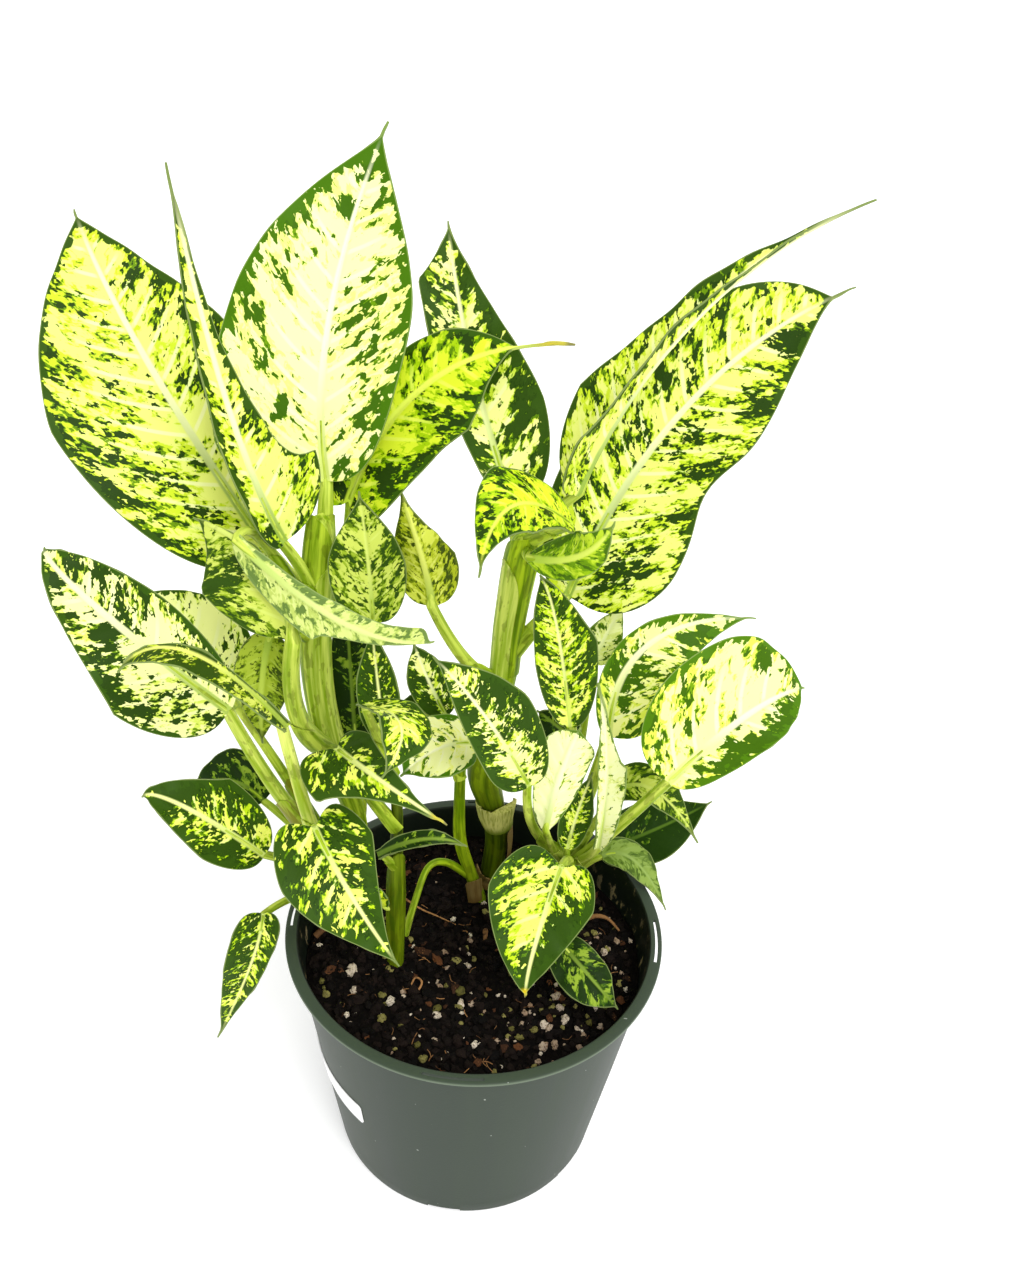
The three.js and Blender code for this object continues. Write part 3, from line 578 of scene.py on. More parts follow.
def sprout(on, start, bow, base, middle, tip, half, face, finish, **more):
    """A leaf's row: the shoot it grows on, where its stalk leaves that shoot, the point that the stalk bows
    towards, then base, middle and tip of the midrib, the widest reach of the left and right halves, the way
    that the upper face looks, as degrees round from +X and degrees up, and the pattern. The underside has
    the same pattern, unless under names another."""
    row = dict(on=on, start=start, bow=bow, base=base, middle=middle, tip=tip, half=half, face=face,
               finish=finish, under=finish)
    return {**USUAL_LEAF, **row, **more}


LEAVES = {
    "leaf_01": sprout("shoot_left", (-72, 38, 246), (-76, 39, 268), (-90, 40, 284), (-136, 55, 358),
        (-165, 85, 402), (44, 36), (-70, 25), "cream", wave=2, wide=(0.36, 0.3), full=(1.3, 1.5), stalk=0.8,
        patches=((0.8, 0.5, 7, 1.5), (0.45, 0.68, 6, 1), (-0.75, 0.25, 14, 0.8), (-0.35, 0.45, 5, 1))),
    "leaf_02": sprout("shoot_left", (-70, 36, 262), (-74, 28, 282), (-80, 22, 299), (-97, 20, 354),
        (-115, 38, 430), (10, 27), (-45, 12), "cream", fold=15, twist=-22, wide=(0.12, 0.2),
        full=(2.7, 0.45)),
    "leaf_03": sprout("shoot_left", (-68, 38, 290), (-67, 42, 305), (-67, 44, 315), (-66, 58, 374),
        (-46, 80, 440), (40, 33), (-85, 15), "pearl", fold=(8, 26), wave=2, wide=(0.1, 0.46),
        full=(2.7, 1.9), patches=((-0.85, 0.45, 6, 1.1), (-0.8, 0.7, 6, 1), (-0.35, 0.2, 4, 2.2),
        (0.5, 0.42, 5, 1.4), (0.85, 0.22, 7, 1.6), (0.5, 0.05, 5, 1.8), (-0.1, 0.87, 4, 1.4),
        (-0.15, 0.78, 4, 1.4))),
    "leaf_04": sprout("shoot_left", (-71, 37, 250), (-58, 46, 276), (-59, 47, 305), (-27, 52, 355),
        (25, 40, 376), (16, 27), (-100, 35), "lime", fold=14, wave=2, wide=(0.2, 0.5), full=(4, 1.2),
        heart=1.2, drip=0.18, dry=1),
    "leaf_05": sprout("shoot_left", (-69, 36, 190), (-82, 4, 222), (-74, -2, 272), (-85, 5, 299),
        (-113, 20, 308), (2, 26), (100, -20), "olive", full=2.4, stalk=0.6, stout=1.5,
        patches=((0.75, 0.55, 10, 1.3),)),
    "leaf_06": sprout("shoot_basal", (-73, 27, 142), (-90, 14, 178), (-103, 5, 230), (-149, 0, 281),
        (-166, 8, 299), (27, 19), (-75, 35), "snow", wave=2, wide=(0.18, 0.27), full=(0.85, 1.5),
        stalk=0.75, stout=1.2, aged=1, patches=((-0.3, 0.35, 6, 1), (0.5, 0.5, 8, 1), (-0.45, 0.68, 3, 1.5),
        (-0.9, 0.25, 7, 0.8))),
    "leaf_07": sprout("shoot_basal", (-73, 27, 147), (-88, 30, 180), (-106, 30, 213), (-122, 34, 244),
        (-143, 45, 261), (18, 20), (-70, 30), "snow", stalk=0.35, aged=1),
    "leaf_08": sprout("shoot_basal", (-69, 27, 130), (-76, 2, 178), (-76, -14, 238), (-106, -28, 280),
        (-130, -34, 274), (11, 2), (-80, 60), "lemon", fold=30, wide=(0.6, 0.38), full=(1.2, 3), stalk=0.95,
        stout=1.5, patches=((-0.5, 0.5, 16, 0.9),)),
    "leaf_09": sprout("shoot_left", (-73, 37, 244), (-80, 24, 262), (-86, 14, 262), (-90, 10, 239),
        (-93, 16, 206), (12, 11), (90, -10), "olive_low"),
    "leaf_10": sprout("shoot_front", (-40, 7, 222), (-46, 20, 250), (-47, 22, 265), (-49, 27, 289),
        (-53, 34, 316), (16, 15), (-90, 15), "olive", patches=((0, 0.4, 12, 0.3),)),
    "leaf_11": sprout("shoot_centre", (5, 41, 225), (-12, 28, 240), (-23, 20, 276), (-28, 28, 293),
        (-38, 42, 314), (13, 14), (85, 5), "mustard", fold=14, full=(1, 1.8), stout=1.3,
        patches=((0, 0.5, 22, -0.4),)),
    "leaf_12": sprout("shoot_basal", (-68, 27, 126), (-70, 0, 172), (-65, -25, 197), (-48, -45, 180),
        (-29, -55, 154), (19, 22), (-85, 48), "young", wide=(0.14, 0.18), full=(1.1, 1.5), heart=1,
        stalk=0.95, stout=1.4, patches=((0, 0.5, 30, 0.3),)),
    "leaf_13": sprout("shoot_front", (-38, 3, 212), (-40, 0, 217), (-40, 0, 224), (-43, 4, 247),
        (-46, 11, 271), (9, 9), (-90, 10), "young", fold=20),
    "leaf_14": sprout("shoot_front", (-37, 1, 206), (-44, -8, 235), (-46, -14, 251), (-30, -36, 258),
        (-36, -46, 242), (12, 12), (-45, 35), "young", fold=12),
    "leaf_15": sprout("shoot_front", (-35, -3, 180), (-52, -6, 208), (-57, -14, 229), (-38, -30, 227),
        (-13, -26, 203), (12, 21), (-70, 40), "young", wide=(0.12, 0.19), full=(1, 0.6), heart=1.1, dry=1),
    "leaf_16": sprout("shoot_thin", (-10, 29, 190), (-8, 24, 202), (-6, 18, 210), (-20, 8, 213),
        (-34, 2, 203), (15, 14), (-90, 50), "pearl", fold=25),
    "leaf_17": sprout("shoot_thin", (-10, 30, 190), (-14, 26, 206), (-17, 24, 219), (-25, 24, 238),
        (-31, 28, 252), (9, 9), (-80, 25), "flame"),
    "leaf_20": sprout("shoot_centre", (11, 41, 285), (8, 44, 300), (6, 46, 308), (-13, 62, 361),
        (-24, 84, 406), (14, 24), (-88, 15), "flame", wave=2, wide=(0.77, 0.25), full=(0.9, 1.3),
        drip=0.02),
    "leaf_21": sprout("shoot_centre", (8, 41, 240), (18, 40, 256), (31, 44, 269), (71, 56, 349),
        (130, 70, 394), (26, 36), (-100, 25), "cream", wave=2, wide=(0.25, 0.11), full=(5, 2.6), drip=0.06,
        pinch=(0, 0.2), patches=((0.55, 0.78, 8, 2), (-0.3, 0.35, 5, 1.5), (-0.45, 0.5, 6, 1.5),
        (0.3, 0.45, 4, 1.5), (0.5, 0.1, 9, 1), (0.8, 0.6, 6, 1.5), (0, 0.4, 40, 0.3))),
    "leaf_22": sprout("shoot_centre", (12, 40, 284), (18, 36, 306), (29, 30, 323), (66, 36, 390),
        (125, 52, 429), (19, 20), (187, 20), "cream", fold=40, wide=(0.18, 0.12), full=(0.8, 0.5),
        under="rolled", patches=((0, 0.6, 34, 0.5),)),
    "leaf_23": sprout("shoot_centre", (13, 38, 297), (26, 22, 312), (28, 8, 320), (5, -16, 338),
        (-5, -24, 314), (14, 15), (-90, 60), "lime", wide=(0.5, 0.42), full=(0.9, 1.1)),
    "leaf_24": sprout("shoot_centre", (13, 39, 292), (14, 20, 297), (14, 12, 303), (31, -2, 313),
        (41, -8, 330), (8, 9), (90, -30), "leafy"),
    "leaf_31": sprout("shoot_right", (41, 42, 126), (18, 18, 160), (19, -5, 207), (-1, -14, 249),
        (-21, -8, 270), (12, 18), (-95, 35), "flame", wide=(0.12, 0.42), full=(1.9, 1.3), stalk=0.6,
        patches=((0.5, 0.5, 16, 0.7),)),
    "leaf_32": sprout("shoot_right", (41, 42, 130), (42, 34, 190), (35, 15, 223), (26, 20, 269),
        (18, 26, 288), (11, 15), (-92, 15), "young", wide=(0.26, 0.36), full=(1.7, 0.9), stout=1.4,
        patches=((0, 0.5, 22, -0.6),)),
    "leaf_33": sprout("shoot_right", (41, 42, 128), (44, 48, 190), (45, 47, 234), (49, 49, 246),
        (56, 53, 261), (8, 8), (-95, 20), "ghost", stalk=0.6),
    "leaf_34": sprout("shoot_right", (41, 41, 130), (50, 34, 176), (52, 22, 214), (66, 36, 252),
        (112, 50, 259), (9, 21), (-100, 35), "spring", wide=(0.38, 0.12), full=(1.6, 2.6), stalk=0.8,
        stout=1.3, patches=((0.3, 0.35, 12, 1.1), (0.4, 0.7, 10, 1.1))),
    "leaf_35": sprout("shoot_right", (43, 44, 114), (58, 14, 168), (74, -10, 217), (102, -4, 248),
        (128, 16, 248), (31, 15), (-98, 35), "spring", wave=1.5, wide=(0.3, 0.37), full=2.8, stalk=0.6,
        patches=((0.95, 0.45, 9, 2), (0.95, 0.65, 9, 2.4), (0.9, 0.25, 7, 1.5), (-0.6, 0.7, 6, 1.2),
        (0.35, 0.3, 4, 1.5), (0, 0.5, 22, -0.5))),
    "leaf_36": sprout("shoot_right", (41, 42, 124), (32, 22, 146), (28, 6, 176), (32, 6, 205),
        (39, 14, 224), (11, 11), (90, -10), "ghost", wide=0.7, stalk=0.8),
    "leaf_37": sprout("shoot_right", (42, 43, 118), (50, 28, 138), (52, 8, 163), (51, 6, 211),
        (44, 12, 248), (4, 9), (-90, 15), "ghost", fold=(20, 35), wide=0.5, full=(1.2, 0.5), stalk=1),
    "leaf_38": sprout("shoot_right", (42, 42, 122), (54, 30, 160), (56, 18, 185), (73, 14, 193),
        (95, 8, 169), (10, 8), (-80, 60), "olive", stalk=0.8),
    "leaf_39": sprout("shoot_right", (43, 45, 112), (50, 46, 122), (57, 44, 128), (84, 50, 138),
        (110, 56, 152), (15, 15), (-95, 50), "gloss"),
    "leaf_40": sprout("shoot_front", (-35, -5, 158), (-38, -9, 168), (-42, -12, 172), (-22, -14, 184),
        (-5, -12, 179), (4, 3), (-90, 50), "dark"),
    "leaf_41": sprout("shoot_right", (44, 45, 106), (52, 38, 128), (58, 34, 134), (73, 31, 135),
        (89, 20, 115), (8, 8), (-70, 60), "moss"),
    "leaf_42": sprout("shoot_right", (43, 44, 116), (42, 20, 148), (35, -8, 166), (25, -36, 148),
        (22, -48, 131), (19, 26), (-95, 48), "young", wide=(0.12, 0.15), full=(1.1, 1.2), heart=0.7, dry=1,
        patches=((-0.5, 0.45, 9, 2), (0.3, 0.35, 9, -1.5))),
    "leaf_43": sprout("shoot_right", (44, 45, 104), (40, 10, 132), (35, -20, 137), (49, -34, 130),
        (62, -42, 119), (9, 13), (-80, 60), "dark"),
    "leaf_44": sprout("shoot_basal", (-63, 26, 106), (-76, 8, 134), (-92, -12, 134), (-97, -22, 112),
        (-116, -20, 60), (8, 12), (-80, 30), "young", fold=15, wide=(0.12, 0.24), full=(2.2, 2.5)),
    "leaf_45": sprout("shoot_basal", (-66, 27, 118), (-84, 14, 142), (-93, 2, 155), (-124, -6, 189),
        (-140, -4, 190), (15, 19), (-80, 48), "young", wide=(0.2, 0.28), full=(1.1, 0.8),
        patches=((0.6, 0.55, 11, 1.8),)),
    "leaf_46": sprout("shoot_basal", (-67, 28, 124), (-84, 26, 152), (-97, 24, 167), (-112, 26, 176),
        (-130, 30, 166), (12, 14), (-85, 50), "dark"),
    "leaf_48": sprout("shoot_left", (-73, 37, 250), (-92, 26, 313), (-93, 2, 310), (-53, -10, 284),
        (-20, -16, 282), (12, 5.5), (60, -30), "faded", wide=(0.38, 0.85), full=(0.5, 4)),
    "leaf_49": sprout("shoot_right", (41, 41, 130), (42, 36, 170), (40, 32, 203), (31, 34, 209),
        (22, 38, 214), (8, 8), (-90, 30), "dark"),
    "leaf_50": sprout("shoot_right", (42, 43, 118), (40, 24, 134), (39, 12, 158), (42, 14, 178),
        (47, 18, 197), (7, 7), (-90, 25), "young"),
    "leaf_51": sprout("shoot_thin", (-10, 30, 180), (-16, 34, 198), (-21, 34, 206), (-30, 32, 214),
        (-40, 34, 212), (8, 8), (90, -20), "olive"),
    "leaf_52": sprout("shoot_left", (-57, 38, 140), (-54, 46, 158), (-58, 46, 176), (-60, 48, 222),
        (-62, 50, 268), (9, 10), (-90, 15), "dark", wide=0.45),
    "bract": sprout("shoot_front", (-35, -6, 136), (-37, -8, 137), (-40, -10, 139), (-42, -13, 148),
        (-45, -14, 158), (4, 4), (-90, 30), "lime"),
}
STALK_THIN = 1.4
STALK_STOUT = 25
STALK_STEPS = 30
SHEATH_STEPS = 14
SHEATH_THICK = 0.5
SHEATH_COLUMNS = 16
SHEATH_LIP = 0.06
SHEATH_WRAP = 230
SHEATH_FACING = 90
SHEATH_TURN = 60
SHEATH_WIDER = (1.6, 1.15)
SHEATH_TIP = 0.995
STALK_TONGUE = 0.45
CANE_TONGUE = 0.3
AGED_SEED = 100
# how the stalk's thickness runs from foot to blade, how far its head reaches along the midrib, and how slim
# it gets there
STALK_PLACES = [0, 0.1, 0.9, 1]
STALK_SWELL = [1.35, 1.2, 0.9, 0.85]
STALK_HEAD = np.array([0.03, 0.07, 0.13, 0.2])
STALK_HEAD_SLIM = np.array([0.7, 0.52, 0.36, 0.22])
STALK_GROOVE = 0.22
GROOVE_FACING = 1.6
GROOVE_SHARP = 6
HEAD_PALENESS = 0.7
UNDER_BLADE = 0.2
TUBE_SIDES = 18


def smooth_line(points, count):
    """A smooth run of count points, which passes through the given ones at even steps."""
    points = np.array(points, float)
    padded = np.vstack([2 * points[0] - points[1], points, 2 * points[-1] - points[-2]])
    place = np.linspace(0, len(points) - 1, count)
    k = np.minimum(place.astype(int), len(points) - 2)
    u = (place - k)[:, None]
    before, first, second, after = padded[k], padded[k + 1], padded[k + 2], padded[k + 3]
    return 0.5 * (2 * first + (second - before) * u + (2 * before - 5 * first + 4 * second - after) * u ** 2
                  + (3 * first - before - 3 * second + after) * u ** 3)


def bow_line(start, bow, end, count):
    t = np.linspace(0, 1, count)[:, None]
    start, bow, end = np.array(start, float), np.array(bow, float), np.array(end, float)
    return (1 - t) ** 2 * start + 2 * t * (1 - t) * bow + t ** 2 * end


def unit(rows):
    return rows / np.linalg.norm(rows, axis=-1, keepdims=True)


def run_length(line):
    """How far along the line each of its points lies."""
    return np.concatenate([[0], np.cumsum(np.linalg.norm(np.diff(line, axis=0), axis=1))])


def write_vectors(piece, name, shape, *parts):
    """Three numbers for every point of a grid piece, each given for all points, a row, a column or as one."""
    values = np.stack([np.broadcast_to(part, shape) for part in parts], -1)
    write_attribute(piece, name, "FLOAT_VECTOR", values)


def tube(name, line, radii, seed, shade, section=None):
    """A closed stem along a line. section(angle, share) gives how far the skin stands out, about 1."""
    steps = len(line) - 1
    piece = grid_piece(name, TUBE_SIDES, steps + 2)
    along = unit(np.gradient(line, axis=0))
    side = np.zeros_like(along)
    side[0] = np.cross(along[0], (0.3, 1, 0.2))
    for k in range(1, steps + 1):
        side[k] = side[k - 1] - along[k] * np.dot(side[k - 1], along[k])
        side[k] /= np.linalg.norm(side[k])
    side[0] /= np.linalg.norm(side[0])
    over = np.cross(along, side)
    rows = np.concatenate([[0], np.arange(steps + 1), [steps]])
    shut = np.concatenate([[0], np.ones(steps + 1), [0]])
    angle = 2 * np.pi * (np.arange(TUBE_SIDES + 1) % TUBE_SIDES) / TUBE_SIDES
    stand = np.array([[section(a, k / steps) if section else 1 for a in angle] for k in rows])
    reach = (np.asarray(radii)[rows] * shut)[:, None] * stand
    cosine, sine = np.cos(angle)[None, :, None], np.sin(angle)[None, :, None]
    outward = cosine * side[rows][:, None] + sine * over[rows][:, None]
    points = line[rows][:, None] + reach[..., None] * outward
    numbers_to_mesh(piece, points)
    length = run_length(line)[rows][:, None]
    write_vectors(piece, "skin", reach.shape, reach * np.cos(angle), reach * np.sin(angle), length)
    share = (rows / steps)[:, None]
    write_vectors(piece, "growth", reach.shape, np.interp(share, [0, 1], shade), share, seed)
    merge_seam(piece)
    return piece


def blade_frame(leaf, t):
    """The midrib's points, its direction, the way to the right half and the way that the face looks."""
    base, middle, tip = (np.array(leaf[key], float) for key in ("base", "middle", "tip"))
    control = 2 * middle - (base + tip) / 2
    t = t[:, None]
    points = (1 - t) ** 2 * base + 2 * t * (1 - t) * control + t ** 2 * tip
    along = unit(2 * (1 - t) * (control - base) + 2 * t * (tip - control))
    round_angle, up_angle = (math.radians(angle) for angle in leaf["face"])
    looks = np.array((math.cos(round_angle) * math.cos(up_angle), math.sin(round_angle) * math.cos(up_angle),
                      math.sin(up_angle)))
    across = unit(np.cross(along, looks))
    turn = np.radians(leaf["twist"]) * (t - 0.5)
    across = across * np.cos(turn) + np.cross(along, across) * np.sin(turn)
    return points, along, across, np.cross(across, along)


def stalk_thickness(leaf):
    return (STALK_THIN + max(leaf["half"]) / STALK_STOUT) * leaf["stout"]


def leaf_stalk(name, leaf, seed):
    """A leaf's stalk: its head passes under the blade's base and thins out along the midrib."""
    rib, _, _, up = blade_frame(leaf, STALK_HEAD)
    line = bow_line(leaf["start"], leaf["bow"], leaf["base"], STALK_STEPS)
    thick = stalk_thickness(leaf)
    share = np.linspace(0, 1, STALK_STEPS)
    radii = thick * np.interp(share, STALK_PLACES, STALK_SWELL)
    lower = (radii + UNDER_BLADE) * np.clip(2.5 * share - 1.5, 0, 1) ** 2
    head_radii = thick * STALK_HEAD_SLIM
    line = np.vstack([line - up[0] * lower[:, None], rib - up * (head_radii + UNDER_BLADE)[:, None]])

    def channel(angle, share):
        return 1 - STALK_GROOVE * max(0, math.cos(angle - GROOVE_FACING)) ** GROOVE_SHARP * (1 - share)

    shade = (leaf["stalk"], max(leaf["stalk"], HEAD_PALENESS))
    return tube(name, line, np.concatenate([radii, head_radii]), seed, shade, channel)


def sheath(name, line, radii, facing, wrap, seed, shade, tongue=STALK_TONGUE):
    """A thin leaf of skin clasping a line: wrap degrees of it, narrowing to a tongue over its top part."""
    rows = len(line) - 1
    piece = grid_piece(name, SHEATH_COLUMNS, rows)
    along = unit(np.gradient(line, axis=0))
    side = unit(np.cross(along, (0.1, 1, 0.1)))
    over = np.cross(along, side)
    share = np.linspace(0, 1, rows + 1)
    narrow = np.sqrt(1 - np.clip((share - 1 + tongue) / tongue, 0, SHEATH_TIP) ** 2)
    place = np.linspace(-1, 1, SHEATH_COLUMNS + 1)
    angle = math.radians(facing) + math.radians(wrap / 2) * narrow[:, None] * place
    reach = np.asarray(radii)[:, None] * (1 + SHEATH_LIP * place ** 4)
    outward = np.cos(angle)[..., None] * side[:, None] + np.sin(angle)[..., None] * over[:, None]
    points = line[:, None] + reach[..., None] * outward
    numbers_to_mesh(piece, points)
    length = run_length(line)[:, None]
    write_vectors(piece, "skin", angle.shape, reach * np.cos(angle), reach * np.sin(angle), length)
    write_vectors(piece, "growth", angle.shape, shade, share[:, None], seed)
    apply_modifier(piece, "SOLIDIFY", thickness=SHEATH_THICK * MM, offset=0)
    return piece


def stalk_sheath(name, leaf, seed):
    """The sheath on the lower part of a leaf's stalk, a little wider than the stalk."""
    line = bow_line(leaf["start"], leaf["bow"], leaf["base"], STALK_STEPS)[:SHEATH_STEPS]
    radii = stalk_thickness(leaf) * np.linspace(*SHEATH_WIDER, SHEATH_STEPS)
    turn = random.Random(seed).uniform(-SHEATH_TURN, SHEATH_TURN)
    mark = seed + AGED_SEED * leaf["aged"]
    return sheath(name, line, radii, SHEATH_FACING + turn, SHEATH_WRAP, mark, leaf["stalk"])


# stems are streaked lengthwise, mottled with darker green, and darker and harder low down
stem_finish, stem_shader, stem_wire = new_finish("green_stem", 0.45, 0.1)
skin_x, skin_y, skin_z = stem_wire.attribute("skin").parts()
shade, _, stem_seed = stem_wire.attribute("growth").parts()
fibre_place = stem_wire.joined(skin_x * 0.45, skin_y * 0.45, skin_z * 0.022 + stem_seed * 7)
fibres = stem_wire.noise(fibre_place, 1.0, 4.0, 0.55)
mottle_place = stem_wire.joined(skin_x * 0.35, skin_y * 0.35, skin_z * 0.12 + stem_seed * 5)
mottle = stem_wire.noise(mottle_place, 1.0, 3.0)
strand = fibres.between(0.35, 0.65)
deep = strand.colours(tone(40, 54, 2), tone(80, 100, 6))
green = strand.colours(tone(98, 132, 3), tone(176, 202, 30))
pale = strand.colours(tone(164, 192, 40), tone(230, 238, 124))
stem_tone = shade.between(0.0, 0.3).colours(deep, shade.between(0.3, 1.0).colours(green, pale))
stem_tone = ((mottle - shade * 0.08).between(0.5, 0.56) * 0.4).colours(stem_tone, tone(84, 96, 8))
aged = (stem_seed - AGED_SEED).between(-1, 0) * fibres.between(0.45, 0.56) * 0.75
stem_tone = aged.colours(stem_tone, tone(108, 98, 26))
connect(stem_tone, stem_shader, "Base Color")
roughen(stem_shader, fibres, 0.0003, 0.5)

# the broad sheaths that make up the upper canes: from and to which cane point, how far off the cane, the
# way each faces, how far round it goes and its paleness
CANE_SHEATHS = {
    "shoot_left": [(2, 8, 0.3, 60, 230, 0.45), (3, 7, 0.7, 150, 170, 0.7)],
    "shoot_centre": [(6, 10, 0.4, 130, 260, 0.3), (6, 9, 0.8, 30, 150, 0.75)],
    "shoot_front": [(1, 4, 0.4, 120, 200, 0.1)],
}
# how pale each cane is at its foot and at its top
CANE_SHADES = {
    "shoot_left": (0.25, 0.6), "shoot_basal": (0.4, 0.6), "shoot_centre": (-0.15, 0.55),
    "shoot_thin": (0.05, 0.35), "shoot_front": (0.0, 0.08), "shoot_right": (0.25, 0.5),
}
# each cane's top closes as a dome, over the last fifteenth of its length
CANE_DOME = (-14, 0.998)
CANE_STEPS = 60
SKIN_STEPS = 40
BRACT_NUMBER = 60
KINKED_NUMBER = 70


def join_all(name, pieces):
    select_only(*pieces)
    bpy.ops.object.join()
    pieces[0].name = name
    return pieces[0]


def number_in(leaf_name):
    return int(leaf_name[-2:]) if leaf_name[-2:].isdigit() else BRACT_NUMBER


for shoot_number, (shoot_name, cane) in enumerate(SHOOTS.items()):
    cane_line = smooth_line(cane, CANE_STEPS)
    dome = np.sqrt(1 - np.clip(np.linspace(*CANE_DOME, CANE_STEPS), 0, 1) ** 2)
    wood = tube("cane", cane_line[:, :3], cane_line[:, 3] * dome, shoot_number + 0.5, CANE_SHADES[shoot_name])
    stalks = [leaf_stalk(leaf_name + "_stalk", leaf, number_in(leaf_name))
              for leaf_name, leaf in LEAVES.items() if leaf["on"] == shoot_name]
    stalks += [stalk_sheath(leaf_name + "_sheath", leaf, seed)
               for seed, (leaf_name, leaf) in enumerate(LEAVES.items()) if leaf["on"] == shoot_name]
    if shoot_name == "shoot_thin":
        kink = smooth_line(KINKED_STALK, SKIN_STEPS)
        stalks.append(tube("kinked_stalk", kink[:, :3], kink[:, 3], KINKED_NUMBER, (0.2, 0.7)))
    for first, last, extra, facing, wrap, paleness in CANE_SHEATHS.get(shoot_name, ()):
        skin = smooth_line(cane[first:last], SKIN_STEPS)
        stalks.append(sheath("cane_sheath", skin[:, :3], skin[:, 3] + extra, facing, wrap, first + extra,
                             paleness, CANE_TONGUE))
    wood = join_all(shoot_name + "_grown", [wood, *stalks])
    wood.data.materials.append(stem_finish)
    hand_in(wood, "stem", shoot_name)

# Old leaves have left their dry sheaths on the middle cane and the thin one: a papery tan cup that
# stands away from the cane, and brown scraps round the foot. Each is three points up its middle, its
# radii there, the way that it faces and how far round it goes.
DRY_SHEATHS = [
    ((8.5, 43.5, 142), (7, 43, 149), (6.5, 43, 158), (6.6, 8.0, 9.4), 70, 290),
    ((9, 44, 124), (9, 44, 132), (8, 44, 141), (6.2, 6.4, 6.8), 170, 60),
    ((-1, 34, 104), (-2, 34, 110), (-3, 34, 118), (4.4, 4.2, 4.6), 120, 120),
    ((5, 46, 103), (6, 46, 108), (7, 45, 113), (6.6, 6.5, 7.2), 60, 130),
]
DRY_STEPS = 14
DRY_TONGUE = 0.15
dry_pieces = []
for dry_number, (low, middle, high, dry_radii, facing, wrap) in enumerate(DRY_SHEATHS):
    dry_line = smooth_line([low, middle, high], DRY_STEPS)
    reach = np.interp(np.linspace(0, 2, DRY_STEPS), [0, 1, 2], dry_radii)
    dry_pieces.append(sheath("dry_sheath", dry_line, reach, facing, wrap, dry_number, 1.0, DRY_TONGUE))
dry_cup = join_all("dry_sheaths", dry_pieces)
dry_finish, dry_shader, dry_wire = new_finish("papery_tan_sheath", 0.6, 0.1)
dry_x, dry_y, dry_z = dry_wire.attribute("skin").parts()
_, paper_up, paper_seed = dry_wire.attribute("growth").parts()
paper_place = dry_wire.joined(dry_x * 0.9, dry_y * 0.9, dry_z * 0.05 + paper_seed * 3)
paper_lines = dry_wire.noise(paper_place, 1.0, 3.0, 0.6)
paper_tone = paper_lines.between(0.3, 0.6).colours(tone(140, 144, 52), tone(206, 204, 116))
paper_tone = paper_up.between(0.45, 0.0).colours(paper_tone, tone(104, 120, 30))
paper_tone = (paper_seed.between(0.4, 0.6) * 0.8).colours(paper_tone, tone(104, 66, 40))
coat(dry_cup, dry_finish, dry_shader, paper_tone, paper_lines, 0.0004, 0.6)
hand_in(dry_cup, "stem", "shoot_centre")

# On the potting mix lie a thin twig, strips of bark and many hair-thin root fibres, all dry and tan.
# Each is its points and then its radius at the start and at the end.
LITTER = [
    ((-35, 27, 108), (-26, 22, 106), (-18, 18, 106), (-9, 15, 104), 0.5, 0.25),
    ((53, 23, 104), (58, 22, 107), (63, 20, 107), (68, 16, 104), 1.3, 0.5),
    ((-73, 4, 104), (-70, 6, 106), (-67, 7, 106), (-64, 8, 104), 1.6, 0.9),
    ((-24, -26, 104), (-22, -22, 106.5), (-25, -19, 106), (-27, -22, 104), 0.5, 0.4),
    ((5, 12, 103), (5, 10, 106), (5, 7, 106), (5, 4, 103), 1.4, 0.9),
    ((30, 20, 103), (36, 17, 105), (40, 10, 105), (43, 8, 103), 0.4, 0.3),
]
LITTER_STEPS = 12
FIBRE_COUNT = 110
FIBRE_SEED = 21
FIBRE_STEPS = 6
FIBRE_REACH = 72
FIBRE_LONG = (1.5, 6)
FIBRE_BEND = 0.9
FIBRE_LIFT = (0.7, 1.6)
FIBRE_RADII = (0.1, 0.22)
draw = random.Random(FIBRE_SEED)
litter_pieces = []
for litter_number, (*run, thick_start, thick_end) in enumerate(LITTER):
    run = smooth_line(run, LITTER_STEPS)
    thickness = np.linspace(thick_start, thick_end, LITTER_STEPS)
    litter_pieces.append(tube("litter", run, thickness, litter_number, (1, 1)))
for fibre_number in range(FIBRE_COUNT):
    out = FIBRE_REACH * math.sqrt(draw.random())
    angle = draw.uniform(*ANY_TURN)
    turn = draw.uniform(*ANY_TURN)
    fibre_x, fibre_y = out * math.cos(angle), out * math.sin(angle)
    fibre_long = draw.uniform(*FIBRE_LONG)
    bend = draw.uniform(-FIBRE_BEND, FIBRE_BEND)
    run = []
    for _ in range(3):
        fibre_x += fibre_long / 2 * math.cos(turn)
        fibre_y += fibre_long / 2 * math.sin(turn)
        turn += bend
        shrink = min(1, (FIBRE_REACH + 1) / math.hypot(fibre_x, fibre_y))
        fibre_x, fibre_y = fibre_x * shrink, fibre_y * shrink
        run.append((fibre_x, fibre_y, soil_height(fibre_x, fibre_y) + draw.uniform(*FIBRE_LIFT)))
    run = smooth_line(run, FIBRE_STEPS)
    thickness = np.full(FIBRE_STEPS, draw.uniform(*FIBRE_RADII))
    litter_pieces.append(tube("fibre", run, thickness, fibre_number, (1, 1)))
litter = join_all("twigs_and_fibres", litter_pieces)
twig_finish, twig_shader, twig_wire = new_finish("dry_twig", 0.7, 0.1)
twig_seed = twig_wire.attribute("growth").parts()[2]
twig_grain = twig_wire.noise(twig_wire.objects_place(), 600.0, 3.0, 0.6)
twig_pick = twig_wire.maths("FRACT", twig_seed * 0.37)
twig_tone = twig_pick.colours(tone(168, 122, 76), tone(74, 48, 32))
